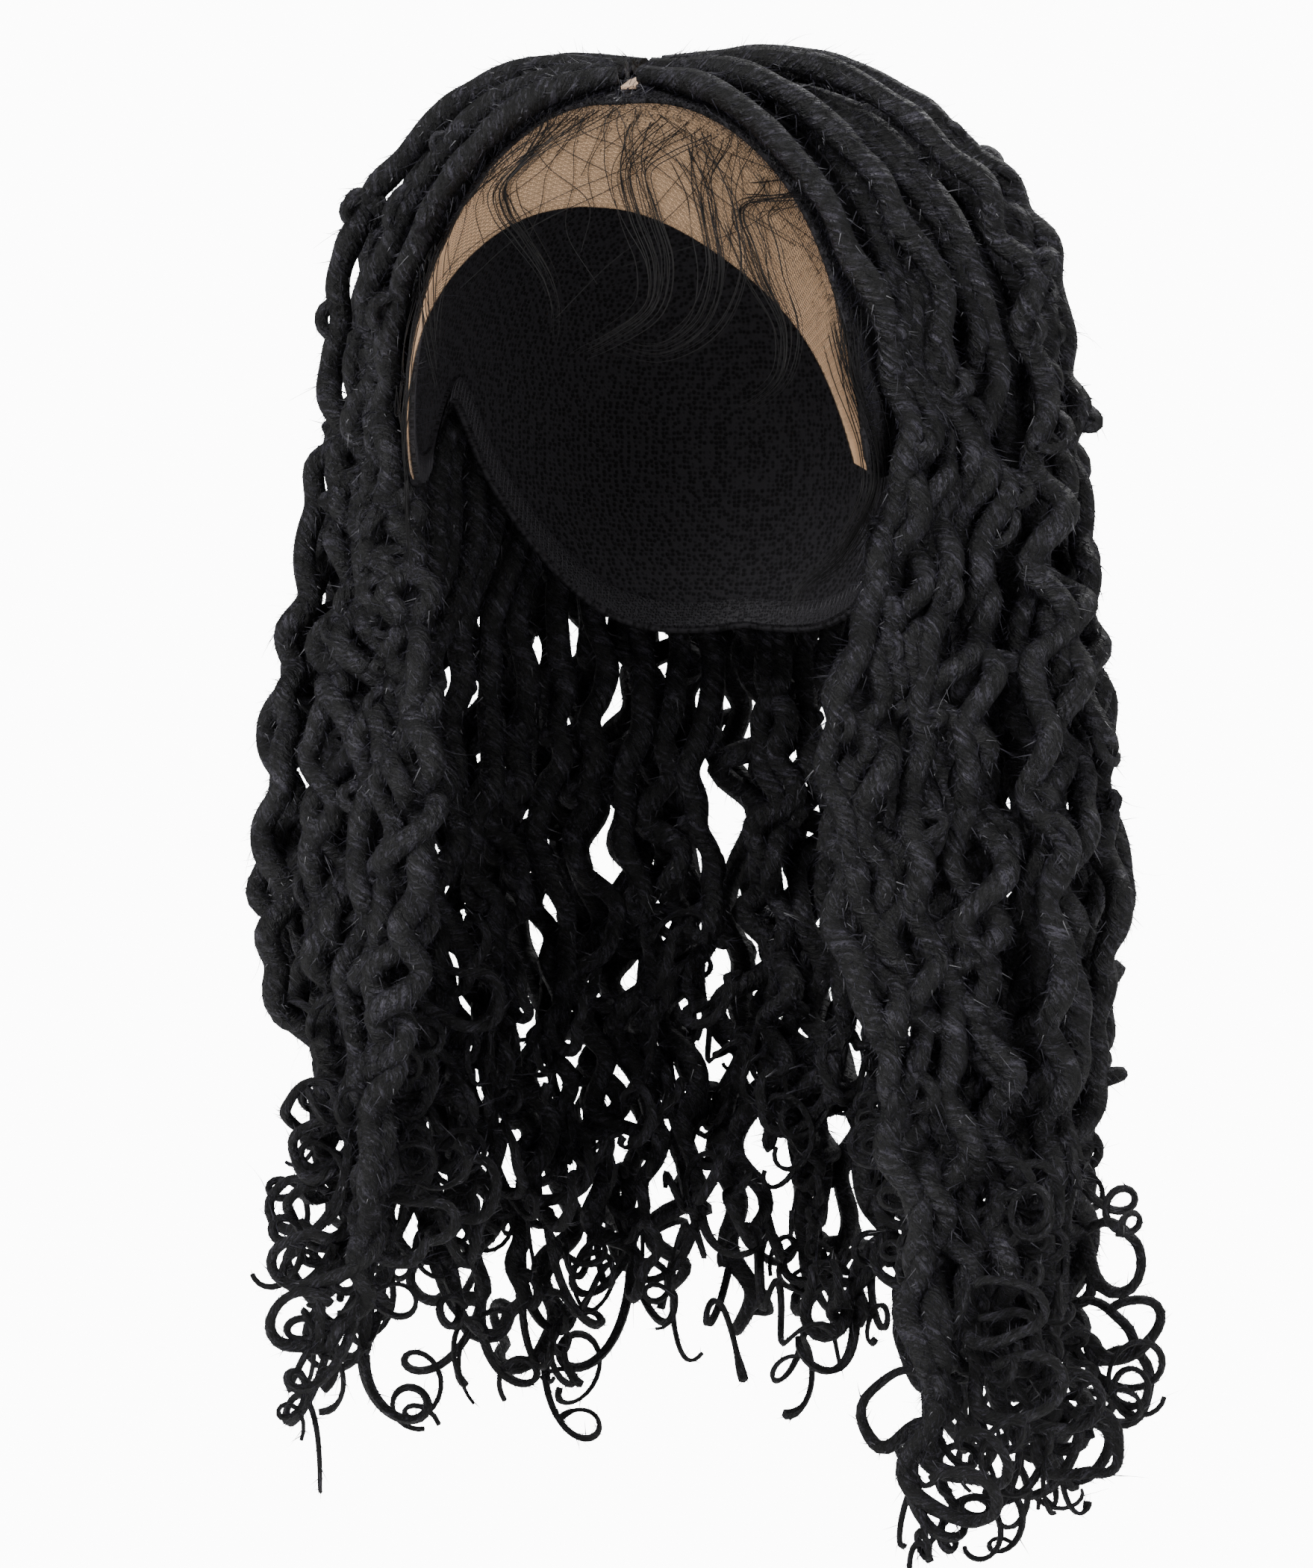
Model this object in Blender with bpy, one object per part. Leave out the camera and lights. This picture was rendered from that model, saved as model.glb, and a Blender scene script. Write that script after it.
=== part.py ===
"""Faux-locs wig: a stretch cap, a lace front, a parting strip and single locs.

The wig keeps the form it has when worn. Metres, +Z up, the face looks along -Y and +X is the
wearer's left. The origin is where the crown of the head touches the inside of the cap.

A place on the head is a direction: an azimuth, 0 at the face and 180 at the back, and a polar
angle, 0 at the crown and 90 on the ear line. Each loc leaves its root on the cap, runs over the
head to the ear line, hangs down in a curtain and ends in a curl.
"""

import math
from typing import NamedTuple

import bmesh
import bpy
import numpy as np
from mathutils import Vector
from mathutils.bvhtree import BVHTree

# The head that the wig fits
HEAD_WIDTH = 0.152
HEAD_DEPTH = 0.196
CROWN_HEIGHT = 0.105

# Cap, lace and parting
CAP_WALL = 0.0015
LACE_WALL = 0.0010
STRIP_WALL = 0.0010
STRIP_WIDTH = 0.0044
PART_FRONT = 0.036
PART_BACK = 0.034
SEAT_GAP = 0.0003
ROOT_GAP = 0.0004
EDGE_GAP = 0.0008

# Locs
LOC_DIAMETER = 0.0098
TIP_DIAMETER = 0.0036
ROOT_SHARE = 0.76
ROOT_TAPER_LENGTH = 0.026
TIP_TAPER_LENGTH = 0.150
LOC_SIDES = 5
HAIR_DROP = 0.328
RIGHT_SHORTER = 0.026

# Volume of the hair
LAYER_PITCH_CROWN = 0.0195
LAYER_PITCH_EAR = 0.0168
REST_LIFT = 0.0017
LEFT_FULLNESS = 1.12
RIGHT_FULLNESS = 1.15
BACK_FULLNESS = 0.85
BACK_FROM = 0.6
FLARE = 0.0120
RIGHT_TUCK = 0.016
TUCK_FROM = 0.45
TUCK_FULL = 0.75

# Waves and curls
WAVE_LENGTH = 0.074
WAVE_SIDEWAYS = 0.0036
WAVE_OUTWARD = 0.0016
OUTWARD_WAVE_RATE = 0.53
OUTWARD_WAVE_LEAD = 1.3
FRONT_WAVE_SHARE = 0.6
WAVES_FROM = 0.3
WAVES_FULL = 1.5
WAVE_TURNS_ROUND = 1.15
WAVE_TURNS_LAYER = 0.31
CURL_RADIUS = 0.0100
CURL_START_RADIUS = 0.0300
CURL_TURN = math.radians(300.0)
CURL_TIGHT_SHARE = 0.25
CURL_DRIFT = 0.30
CURL_SWING = math.radians(20.0)
CURL_SWING_STEP = 0.9
CURL_HANG = 1.7

# Places on the head
EAR_POLAR = math.radians(90.0)
FRONT_AZIMUTH = math.radians(76.0)
BACK_AZIMUTH = math.radians(172.0)
FRONT_DEPTH = 0.30

# How finely things are drawn
GUIDE_STEP = math.radians(8.0)
LAST_ROW_MARGIN = 0.06
LINE_STEP = 0.002
EDGE_STEP = 0.02
BEND_WEIGHT = 1.1
HAIRLINE_COLUMNS = 12
NAPE_COLUMNS = 9
CAP_RINGS = 7
LACE_ROWS = 3
STRIP_STATIONS = 8
GOLDEN_SHARE = 0.618034
SHARP_ANGLE = math.radians(50.0)
RIGHT_UNEVEN_START = 0.37

BLACK_HAIR = (0.010, 0.010, 0.012, 1.0)
CAP_NET = (0.016, 0.015, 0.017, 1.0)
TAN_LACE = (0.62, 0.43, 0.28, 1.0)


class HeadPlace(NamedTuple):
    """A direction on the head, in degrees."""

    azimuth: float
    polar: float


# Edge of the cap on the wearer's left, from the middle of the hairline round to the nape
CAP_EDGE = (
    HeadPlace(azimuth=0.0, polar=27.5),
    HeadPlace(azimuth=30.0, polar=28.5),
    HeadPlace(azimuth=50.0, polar=38.0),
    HeadPlace(azimuth=60.0, polar=52.0),
    HeadPlace(azimuth=66.0, polar=76.0),
    HeadPlace(azimuth=73.0, polar=99.0),
    HeadPlace(azimuth=84.0, polar=98.0),
    HeadPlace(azimuth=97.0, polar=84.0),
    HeadPlace(azimuth=113.0, polar=99.0),
    HeadPlace(azimuth=142.0, polar=122.0),
    HeadPlace(azimuth=180.0, polar=124.0),
)
HAIRLINE_ROWS = 6

CAP_CENTRE = HeadPlace(azimuth=180.0, polar=24.0)

# Lower edge of the lace on the wearer's left, from the middle of the forehead to the ear
LACE_EDGE = (
    HeadPlace(azimuth=0.0, polar=55.8),
    HeadPlace(azimuth=16.5, polar=57.6),
    HeadPlace(azimuth=38.0, polar=66.5),
    HeadPlace(azimuth=50.0, polar=74.5),
    HeadPlace(azimuth=57.5, polar=82.0),
    HeadPlace(azimuth=68.5, polar=98.0),
)


class CurtainRow(NamedTuple):
    """One height of the hanging hair, from the ear line down.

    drop is a share of HAIR_DROP, front_reach a share of half of HEAD_WIDTH, and flare a share
    of FLARE. front_azimuth is in degrees.
    """

    drop: float
    front_azimuth: float
    front_reach: float
    flare: float


CURTAIN = (
    CurtainRow(drop=0.00, front_azimuth=76.0, front_reach=1.14, flare=0.00),
    CurtainRow(drop=0.15, front_azimuth=68.0, front_reach=1.07, flare=0.45),
    CurtainRow(drop=0.30, front_azimuth=60.0, front_reach=0.98, flare=0.85),
    CurtainRow(drop=0.45, front_azimuth=61.0, front_reach=1.04, flare=1.00),
    CurtainRow(drop=0.60, front_azimuth=67.0, front_reach=1.14, flare=0.60),
    CurtainRow(drop=0.75, front_azimuth=71.0, front_reach=1.21, flare=0.30),
    CurtainRow(drop=0.90, front_azimuth=71.0, front_reach=1.26, flare=-0.10),
    CurtainRow(drop=1.00, front_azimuth=70.0, front_reach=1.28, flare=-0.60),
)


class Root(NamedTuple):
    """Root of one loc, and where it crosses the ear line.

    side and back are lengths on the cap's plan in loc diameters: side from the parting's edge
    and back from the parting's rear end. rank is 0 at the face and 1 at the back.
    """

    side: float
    back: float
    rank: float


# Top locs, from the face to the back: seven along the parting, then two on the crown
TOP_ROOTS = (
    Root(side=0.12, back=-6.90, rank=0.000),
    Root(side=0.14, back=-6.00, rank=0.105),
    Root(side=0.17, back=-5.08, rank=0.220),
    Root(side=0.21, back=-4.11, rank=0.342),
    Root(side=0.26, back=-3.06, rank=0.468),
    Root(side=0.32, back=-1.93, rank=0.598),
    Root(side=0.38, back=-0.68, rank=0.730),
    Root(side=1.45, back=2.30, rank=0.862),
    Root(side=0.34, back=1.70, rank=1.000),
)


class Tier(NamedTuple):
    """Locs of one height on the cap.

    layer counts the layers that lie under it at the ear line. length is a share of HAIR_DROP
    below the ear line, and spread is how much shorter the shortest loc of the tier is. curl is
    +1 for curls that turn outward and -1 for curls that turn inward.
    """

    name: str
    layer: int
    length: float
    spread: float
    curl: float
    segments: int


TOP = Tier(name="top", layer=2, length=1.00, spread=0.16, curl=1.0, segments=30)
MIDDLE = Tier(name="middle", layer=1, length=0.88, spread=0.12, curl=-1.0, segments=22)
LOWER = Tier(name="lower", layer=0, length=0.69, spread=0.10, curl=-1.0, segments=18)

MIDDLE_RANKS = (0.281, 0.405, 0.533, 0.664, 0.796, 0.931)
LOWER_RANKS = (0.342, 0.468, 0.598, 0.730, 0.862, 0.966)
MIDDLE_ROOT_POLAR = (math.radians(45.0), math.radians(64.0))
LOWER_ROOT_POLAR = (math.radians(78.0), math.radians(86.0))
LAYER_LEAD = math.radians(9.0)
LAYER_RISE = math.radians(40.0)


def smoothstep(start, end, value):
    """Ease from 0 at start to 1 at end."""
    share = min(max((value - start) / (end - start), 0.0), 1.0)
    return share * share * (3.0 - 2.0 * share)


def blend(first, second, share):
    """Mix two values or arrays."""
    return first * (1.0 - share) + second * share


def head_axes():
    """Half sizes of the head form along X, Y and Z."""
    return np.array([HEAD_WIDTH / 2, HEAD_DEPTH / 2, CROWN_HEIGHT])


def direction(azimuth, polar):
    """Unit direction from the middle of the head form, before it is scaled to its sizes."""
    return np.array([
        math.sin(polar) * math.sin(azimuth),
        -math.sin(polar) * math.cos(azimuth),
        math.cos(polar),
    ])


def place_direction(place):
    """Direction of a HeadPlace."""
    return direction(math.radians(place.azimuth), math.radians(place.polar))


def polar_of(unit):
    """Polar angle of a direction."""
    return math.acos(min(max(unit[2], -1.0), 1.0))


def on_head(unit, height):
    """Point at a height above the head form, measured square to its surface."""
    axes = head_axes()
    normal = unit / axes
    normal = normal / np.linalg.norm(normal)
    return unit * axes + np.array([0.0, 0.0, -CROWN_HEIGHT]) + normal * height


def slerp(first, second, share):
    """Direction on the great circle between two directions."""
    angle = math.acos(min(max(float(first @ second), -1.0), 1.0))
    if angle < 1e-6:
        return first
    mixed = math.sin((1.0 - share) * angle) * first + math.sin(share * angle) * second
    return mixed / math.sin(angle)


def spline(points, spacing):
    """Smooth curve through points (centripetal Catmull-Rom), sampled about evenly."""
    points = np.asarray(points, dtype=float)
    ends = np.vstack([2 * points[0] - points[1], points, 2 * points[-1] - points[-2]])
    samples = [points[0]]
    for index in range(len(points) - 1):
        four = ends[index:index + 4]
        roots = np.sqrt(np.linalg.norm(np.diff(four, axis=0), axis=1))
        knots = np.concatenate([[0.0], np.cumsum(roots)])
        steps = max(1, round(np.linalg.norm(four[2] - four[1]) / spacing))
        for step in range(1, steps + 1):
            at = blend(knots[1], knots[2], step / steps)
            low = [between(four[k], four[k + 1], knots, at, k, k + 1) for k in range(3)]
            mid = [between(low[k], low[k + 1], knots, at, k, k + 2) for k in range(2)]
            samples.append(between(mid[0], mid[1], knots, at, 1, 2))
    return np.array(samples)


def between(first, second, knots, at, left, right):
    """Straight mix of two points whose knots are given."""
    return blend(first, second, (at - knots[left]) / (knots[right] - knots[left]))


def lengths_along(points):
    """Distance along a polyline to each of its points."""
    return np.concatenate([[0.0], np.cumsum(np.linalg.norm(np.diff(points, axis=0), axis=1))])


def depth_share(rank):
    """How far a loc is into the full hair: 0 for the loc at the face, 1 past FRONT_DEPTH."""
    return smoothstep(0.0, FRONT_DEPTH, rank)


def body_radius(along):
    """Radius of a loc before its tip thins out, at a distance from its root."""
    return blend(ROOT_SHARE, 1.0, smoothstep(0.0, ROOT_TAPER_LENGTH, along)) * LOC_DIAMETER / 2


def layer_pitch(polar):
    """Height of one layer of hair at a polar angle."""
    return blend(LAYER_PITCH_CROWN, LAYER_PITCH_EAR, min(polar / EAR_POLAR, 1.0))


def root_polar_at(ends, rank):
    """Polar angle of a lower tier's roots, which run from the first of two ends to the second."""
    return blend(ends[0], ends[1], rank)


def fullness(rank, side):
    """How full the hair is at a loc, as a share of the layer pitches."""
    across = LEFT_FULLNESS if side > 0 else RIGHT_FULLNESS
    return blend(across, BACK_FULLNESS, smoothstep(BACK_FROM, 1.0, rank))


def loc_height(tier, rank, side, root_polar, polar):
    """Height of a loc's middle line over the head form.

    It lies on the cap at its root, and climbs one layer before each lower tier's roots.
    """
    height = 0.0
    for ends in (LOWER_ROOT_POLAR, MIDDLE_ROOT_POLAR)[:tier.layer]:
        top = root_polar_at(ends, rank) - LAYER_LEAD
        start = max(root_polar, top - LAYER_RISE)
        height += layer_pitch(polar) * smoothstep(start, max(top, start + GUIDE_STEP), polar)
    lift = height * fullness(rank, side) * depth_share(rank)
    lift += REST_LIFT * smoothstep(root_polar, root_polar + LAYER_LEAD, polar)
    return CAP_WALL + SEAT_GAP + body_radius((polar - root_polar) * CROWN_HEIGHT) + lift


def ear_azimuth(rank):
    """Azimuth at which a loc crosses the ear line."""
    return blend(FRONT_AZIMUTH, BACK_AZIMUTH, rank)


def curtain_point(row, tier, rank, side):
    """Point of a loc at one height of the curtain, on the wearer's left."""
    azimuth = blend(math.radians(row.front_azimuth), BACK_AZIMUTH, rank)
    half_width, half_depth, _ = head_axes()
    head_reach = 1.0 / math.hypot(math.sin(azimuth) / half_width, math.cos(azimuth) / half_depth)
    hair = CAP_WALL + SEAT_GAP + LOC_DIAMETER / 2 + REST_LIFT
    hair += (LAYER_PITCH_EAR * tier.layer + row.flare * FLARE) * fullness(rank, side)
    full_reach = head_reach + hair
    if side < 0:
        full_reach -= RIGHT_TUCK * smoothstep(TUCK_FROM, TUCK_FULL, row.drop)
    reach = blend(row.front_reach * half_width, full_reach, depth_share(rank))
    return np.array([
        reach * math.sin(azimuth),
        -reach * math.cos(azimuth),
        -CROWN_HEIGHT - row.drop * HAIR_DROP,
    ])


def tip_drop(tier, side, number):
    """Share of HAIR_DROP that a loc reaches before its curl, uneven from loc to loc."""
    uneven = (number * GOLDEN_SHARE + (RIGHT_UNEVEN_START if side < 0 else 0.0)) % 1.0
    share = tier.length - tier.spread * uneven
    if side < 0:
        share -= RIGHT_SHORTER / HAIR_DROP
    return share - CURL_HANG * CURL_RADIUS / HAIR_DROP


def curtain_row_at(drop):
    """Row of the curtain at any drop, mixed from the rows next to it."""
    lower = next((row for row in CURTAIN if row.drop >= drop - LAST_ROW_MARGIN), CURTAIN[-1])
    upper = CURTAIN[CURTAIN.index(lower) - 1]
    share = (drop - upper.drop) / (lower.drop - upper.drop)
    return CurtainRow(*(blend(above, below, share) for above, below in zip(upper, lower)))


def guide_points(tier, root_unit, rank, side, drop):
    """Control points of a loc on the wearer's left: over the head, then down the curtain."""
    root_polar = polar_of(root_unit)
    ear_unit = direction(ear_azimuth(rank), EAR_POLAR)
    angle = math.acos(min(max(float(root_unit @ ear_unit), -1.0), 1.0))
    steps = max(2, round(angle / GUIDE_STEP))
    points = []
    for step in range(steps):
        unit = slerp(root_unit, ear_unit, step / steps)
        points.append(on_head(unit, loc_height(tier, rank, side, root_polar, polar_of(unit))))
    for row in CURTAIN:
        if row.drop < drop - LAST_ROW_MARGIN:
            points.append(curtain_point(row, tier, rank, side))
    points.append(curtain_point(curtain_row_at(drop), tier, rank, side))
    return points


def add_waves(points, rank, phase):
    """Sideways and in-and-out waves that set in below the crown."""
    waved = points.copy()
    along = lengths_along(points)
    for index, point in enumerate(points):
        strength = smoothstep(WAVES_FROM, WAVES_FULL, -point[2] / CROWN_HEIGHT)
        outward = np.array([point[0], point[1], 0.0])
        outward /= np.linalg.norm(outward)
        sideways = np.array([-outward[1], outward[0], 0.0])
        turn = 2 * math.pi * along[index] / WAVE_LENGTH + phase
        strength *= blend(FRONT_WAVE_SHARE, 1.0, depth_share(rank))
        slow_turn = OUTWARD_WAVE_RATE * turn + OUTWARD_WAVE_LEAD
        waved[index] += sideways * (WAVE_SIDEWAYS * strength * math.sin(turn))
        waved[index] += outward * (WAVE_OUTWARD * strength * math.sin(slow_turn))
    return waved


def add_curl(points, tier, number):
    """Curl at the tip that tightens as it turns, with a drift that keeps it clear of itself."""
    heading = points[-1] - points[-3]
    heading /= np.linalg.norm(heading)
    outward = np.array([points[-1][0], points[-1][1], 0.0])
    outward /= np.linalg.norm(outward)
    swing = CURL_SWING * math.sin(number * CURL_SWING_STEP)
    sideways = np.array([-outward[1], outward[0], 0.0])
    toward = (outward * math.cos(swing) + sideways * math.sin(swing)) * tier.curl
    toward -= heading * (toward @ heading)
    toward /= np.linalg.norm(toward)
    axis = np.cross(heading, toward)
    angle = 0.0
    point = points[-1]
    curled = list(points)
    while angle < CURL_TURN:
        share = angle / CURL_TURN
        tightness = min(share / CURL_TIGHT_SHARE, 1.0)
        angle += LINE_STEP / blend(CURL_START_RADIUS, CURL_RADIUS, tightness)
        step = heading * math.cos(angle) + toward * math.sin(angle) + axis * CURL_DRIFT * share
        point = point + step * LINE_STEP
        curled.append(point)
    return np.array(curled)


def thin_out(points, segments):
    """Keep stations of a fine polyline, closer together where it bends more."""
    along = lengths_along(points)
    headings = np.diff(points, axis=0)
    headings /= np.linalg.norm(headings, axis=1)[:, None]
    bends = np.arccos(np.clip(np.sum(headings[:-1] * headings[1:], axis=1), -1.0, 1.0))
    effort = along / along[-1]
    effort[1:-1] += BEND_WEIGHT * np.cumsum(bends) / float(np.sum(bends))
    effort[-1] += BEND_WEIGHT
    wanted = np.linspace(0.0, effort[-1], segments + 1)
    return [np.interp(wanted, effort, column) for column in (*points.T, along)]


def loc_radius(along, total):
    """Radius of a loc at a distance from its root."""
    tip = smoothstep(total - TIP_TAPER_LENGTH, total, along)
    return blend(body_radius(along), TIP_DIAMETER / 2, tip)


def loc_line(tier, root_unit, rank, side, number):
    """Middle line of a loc and its radii, from root to tip."""
    drop = tip_drop(tier, side, number)
    points = spline(guide_points(tier, root_unit, rank, side, drop), LINE_STEP)
    phase = 2 * math.pi * (WAVE_TURNS_ROUND * rank + WAVE_TURNS_LAYER * tier.layer)
    points = add_waves(points, rank, phase)
    points = add_curl(points, tier, number)
    x, y, z, along = thin_out(points, tier.segments)
    radii = [loc_radius(at, along[-1]) for at in along]
    return np.stack([x * side, y, z], axis=1), radii


def tube_rings(line, radii, sides):
    """Rings of points round a polyline, on frames that turn as little as they can."""
    headings = np.gradient(line, axis=0)
    headings /= np.linalg.norm(headings, axis=1)[:, None]
    across = np.cross(headings[0], [0.0, 0.0, 1.0])
    turns = [2 * math.pi * side / sides for side in range(sides)]
    rings = []
    for point, heading, radius in zip(line, headings, radii):
        across = across - heading * (across @ heading)
        across /= np.linalg.norm(across)
        up = np.cross(heading, across)
        rings.append([point + (across * math.cos(turn) + up * math.sin(turn)) * radius
                      for turn in turns])
    return rings


def seat_root(line, radii, root_unit, cap_tree):
    """Lower the first station of a loc until its ring lies ROOT_GAP off the faceted cap.

    The ring tilts as it comes down, so it is lowered to three gaps first and then to one.
    """
    outward = root_unit / head_axes()
    outward /= np.linalg.norm(outward)
    seated = line.copy()
    for gap in (ROOT_GAP * 3, ROOT_GAP):
        drops = []
        for point in tube_rings(seated, radii, LOC_SIDES)[0]:
            distance = cap_tree.ray_cast(Vector(point), Vector(-outward))[3]
            if distance is not None:
                drops.append(distance)
        seated[0] -= outward * (min(drops) - gap)
    return seated


def tube_mesh(name, line, radii, sides):
    """Closed tube along a polyline."""
    mesh_data = bmesh.new()
    rings = [[mesh_data.verts.new(Vector(point)) for point in ring]
             for ring in tube_rings(line, radii, sides)]
    for first, second in zip(rings, rings[1:]):
        for side in range(sides):
            after = (side + 1) % sides
            mesh_data.faces.new((first[side], first[after], second[after], second[side]))
    mesh_data.faces.new(list(reversed(rings[0])))
    mesh_data.faces.new(rings[-1])
    return finish_mesh(name, mesh_data)


def finish_mesh(name, mesh_data):
    """Turn faces outward and store the mesh."""
    bmesh.ops.recalc_face_normals(mesh_data, faces=mesh_data.faces)
    mesh = bpy.data.meshes.new(name)
    mesh_data.to_mesh(mesh)
    mesh_data.free()
    mesh.shade_smooth()
    mesh.set_sharp_from_angle(angle=SHARP_ANGLE)
    return mesh


def shell_mesh(name, grid, inner_height, wall, closed):
    """Shell over the head form from a grid of directions.

    grid is rows of directions. A closed grid joins its last column to its first, and its first
    row is a single direction at the crown.
    """
    mesh_data = bmesh.new()
    skins = []
    for height in (inner_height, inner_height + wall):
        skins.append([[mesh_data.verts.new(Vector(on_head(unit, height))) for unit in row]
                      for row in grid])
    for skin in skins:
        fill_skin(mesh_data, skin, closed)
    inner, outer = skins
    rims = [(inner[-1], outer[-1])]
    if not closed:
        rims.append((inner[0], outer[0]))
        rims.append(([row[0] for row in inner], [row[0] for row in outer]))
        rims.append(([row[-1] for row in inner], [row[-1] for row in outer]))
    for low, high in rims:
        count = len(low)
        for index in range(count if closed else count - 1):
            after = (index + 1) % count
            mesh_data.faces.new((low[index], low[after], high[after], high[index]))
    return finish_mesh(name, mesh_data)


def fill_skin(mesh_data, skin, closed):
    """Faces of one skin of a shell."""
    for upper, lower in zip(skin, skin[1:]):
        count = len(lower)
        for index in range(count if closed else count - 1):
            after = (index + 1) % count
            if len(upper) == 1:
                mesh_data.faces.new((upper[0], lower[index], lower[after]))
            else:
                mesh_data.faces.new((upper[index], upper[after], lower[after], lower[index]))


def edge_curve(places, count):
    """Directions spaced evenly along the edge through a list of places."""
    units = spline([place_direction(place) for place in places], EDGE_STEP)
    along = lengths_along(units)
    wanted = np.linspace(0.0, along[-1], count)
    units = np.stack([np.interp(wanted, along, column) for column in units.T], axis=1)
    return units / np.linalg.norm(units, axis=1)[:, None]


def mirrored(units):
    """The same directions on the wearer's right."""
    return units * np.array([-1.0, 1.0, 1.0])


def hairline_curve():
    """Hairline on the wearer's left, where the cap meets the lace."""
    return edge_curve(CAP_EDGE[:HAIRLINE_ROWS], HAIRLINE_COLUMNS)


def build_cap(material):
    """Stretch cap: a thin dome, open at the face and below, cut out round the ears."""
    lower = edge_curve(CAP_EDGE[HAIRLINE_ROWS - 1:], NAPE_COLUMNS)
    half = np.vstack([hairline_curve(), lower[1:]])
    rim = np.vstack([half, mirrored(half)[-2:0:-1]])
    crown = place_direction(CAP_CENTRE)
    grid = [[crown]]
    for ring in range(1, CAP_RINGS + 1):
        grid.append([slerp(crown, unit, ring / CAP_RINGS) for unit in rim])
    mesh = shell_mesh("wig_cap", grid, 0.0, CAP_WALL, closed=True)
    return add_object("wig_cap", mesh, material)


def build_lace(material):
    """Lace front: a thin strip from ear to ear between the cap and the forehead."""
    hairline = hairline_curve()
    lower = edge_curve(LACE_EDGE, HAIRLINE_COLUMNS)
    hairline = np.vstack([mirrored(hairline)[:0:-1], hairline])
    lower = np.vstack([mirrored(lower)[:0:-1], lower])
    grid = []
    for row in range(LACE_ROWS + 1):
        line = []
        for back, front in zip(hairline, lower):
            width = math.acos(float(back @ front)) * CROWN_HEIGHT
            start = EDGE_GAP / width
            line.append(slerp(back, front, blend(start, 1.0, row / LACE_ROWS)))
        grid.append(line)
    mesh = shell_mesh("lace_front", grid, 0.0, LACE_WALL, closed=False)
    return add_object("lace_front", mesh, material)


def plan_direction(x, y):
    """Direction of the head form's point above a place on its plan."""
    half_width, half_depth, _ = head_axes()
    across = x / half_width
    along = y / half_depth
    return np.array([across, along, math.sqrt(1.0 - across * across - along * along)])


def build_parting(material):
    """Parting strip: a ribbon of lace on the cap, between the roots of the top locs."""
    grid = []
    for station in range(STRIP_STATIONS + 1):
        y = blend(-PART_FRONT, PART_BACK, station / STRIP_STATIONS)
        grid.append([plan_direction(x, y) for x in (-STRIP_WIDTH / 2, 0.0, STRIP_WIDTH / 2)])
    mesh = shell_mesh("parting_strip", grid, CAP_WALL + SEAT_GAP, STRIP_WALL, closed=False)
    return add_object("parting_strip", mesh, material)


def build_loc(tier, root_unit, rank, side, number, material, cap_tree):
    """One loc, named after its tier, side and place from the face to the back."""
    side_name = "left" if side > 0 else "right"
    name = f"{tier.name}_loc_{side_name}_{number + 1}"
    line, radii = loc_line(tier, root_unit, rank, side, number)
    line = seat_root(line, radii, root_unit * np.array([side, 1.0, 1.0]), cap_tree)
    return add_object(name, tube_mesh(name, line, radii, LOC_SIDES), material)


def top_root_unit(root):
    """Direction of a top loc's root, beside the parting strip."""
    x = STRIP_WIDTH / 2 + root.side * LOC_DIAMETER
    y = PART_BACK + root.back * LOC_DIAMETER
    return plan_direction(x, y)


def build_locs(material, cap):
    """All locs: the wearer's left, then the wearer's right."""
    cap_tree = BVHTree.FromObject(cap, bpy.context.evaluated_depsgraph_get())
    for side in (1, -1):
        for number, root in enumerate(TOP_ROOTS):
            build_loc(TOP, top_root_unit(root), root.rank, side, number, material, cap_tree)
        for number, rank in enumerate(MIDDLE_RANKS):
            unit = direction(ear_azimuth(rank), root_polar_at(MIDDLE_ROOT_POLAR, rank))
            build_loc(MIDDLE, unit, rank, side, number, material, cap_tree)
        for number, rank in enumerate(LOWER_RANKS):
            unit = direction(ear_azimuth(rank), root_polar_at(LOWER_ROOT_POLAR, rank))
            build_loc(LOWER, unit, rank, side, number, material, cap_tree)


def make_material(name, colour, roughness):
    """Plain surface of one colour."""
    material = bpy.data.materials.new(name)
    material.use_nodes = True
    shader = material.node_tree.nodes["Principled BSDF"]
    shader.inputs["Base Color"].default_value = colour
    shader.inputs["Roughness"].default_value = roughness
    shader.inputs["Metallic"].default_value = 0.0
    return material


def add_object(name, mesh, material):
    """Put a mesh in the scene under its name."""
    mesh.materials.append(material)
    new_object = bpy.data.objects.new(name, mesh)
    bpy.context.scene.collection.objects.link(new_object)
    return new_object


def clear_scene():
    """Remove the objects that the scene starts with."""
    for old in list(bpy.data.objects):
        bpy.data.objects.remove(old, do_unlink=True)


def main():
    """Build the wig."""
    clear_scene()
    cap = build_cap(make_material("cap_net", CAP_NET, 0.8))
    lace = make_material("tan_lace", TAN_LACE, 0.7)
    build_lace(lace)
    build_parting(lace)
    build_locs(make_material("black_hair", BLACK_HAIR, 0.6), cap)


if __name__ == "__main__":
    main()
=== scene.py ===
"""Looks of a long faux-locs wig with a lace front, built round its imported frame.

Metres, +Z up, the face looks along -Y and +X is the wearer's left. A place on the head is a
direction: an azimuth, 0 at the face and 180 at the back, and a polar angle, 0 at the crown and 90
on the ear line. Every loc follows the same middle line as its solid.
"""

import logging
import math
from dataclasses import dataclass, field
from enum import Enum
from typing import Optional, Sequence, Union

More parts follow.
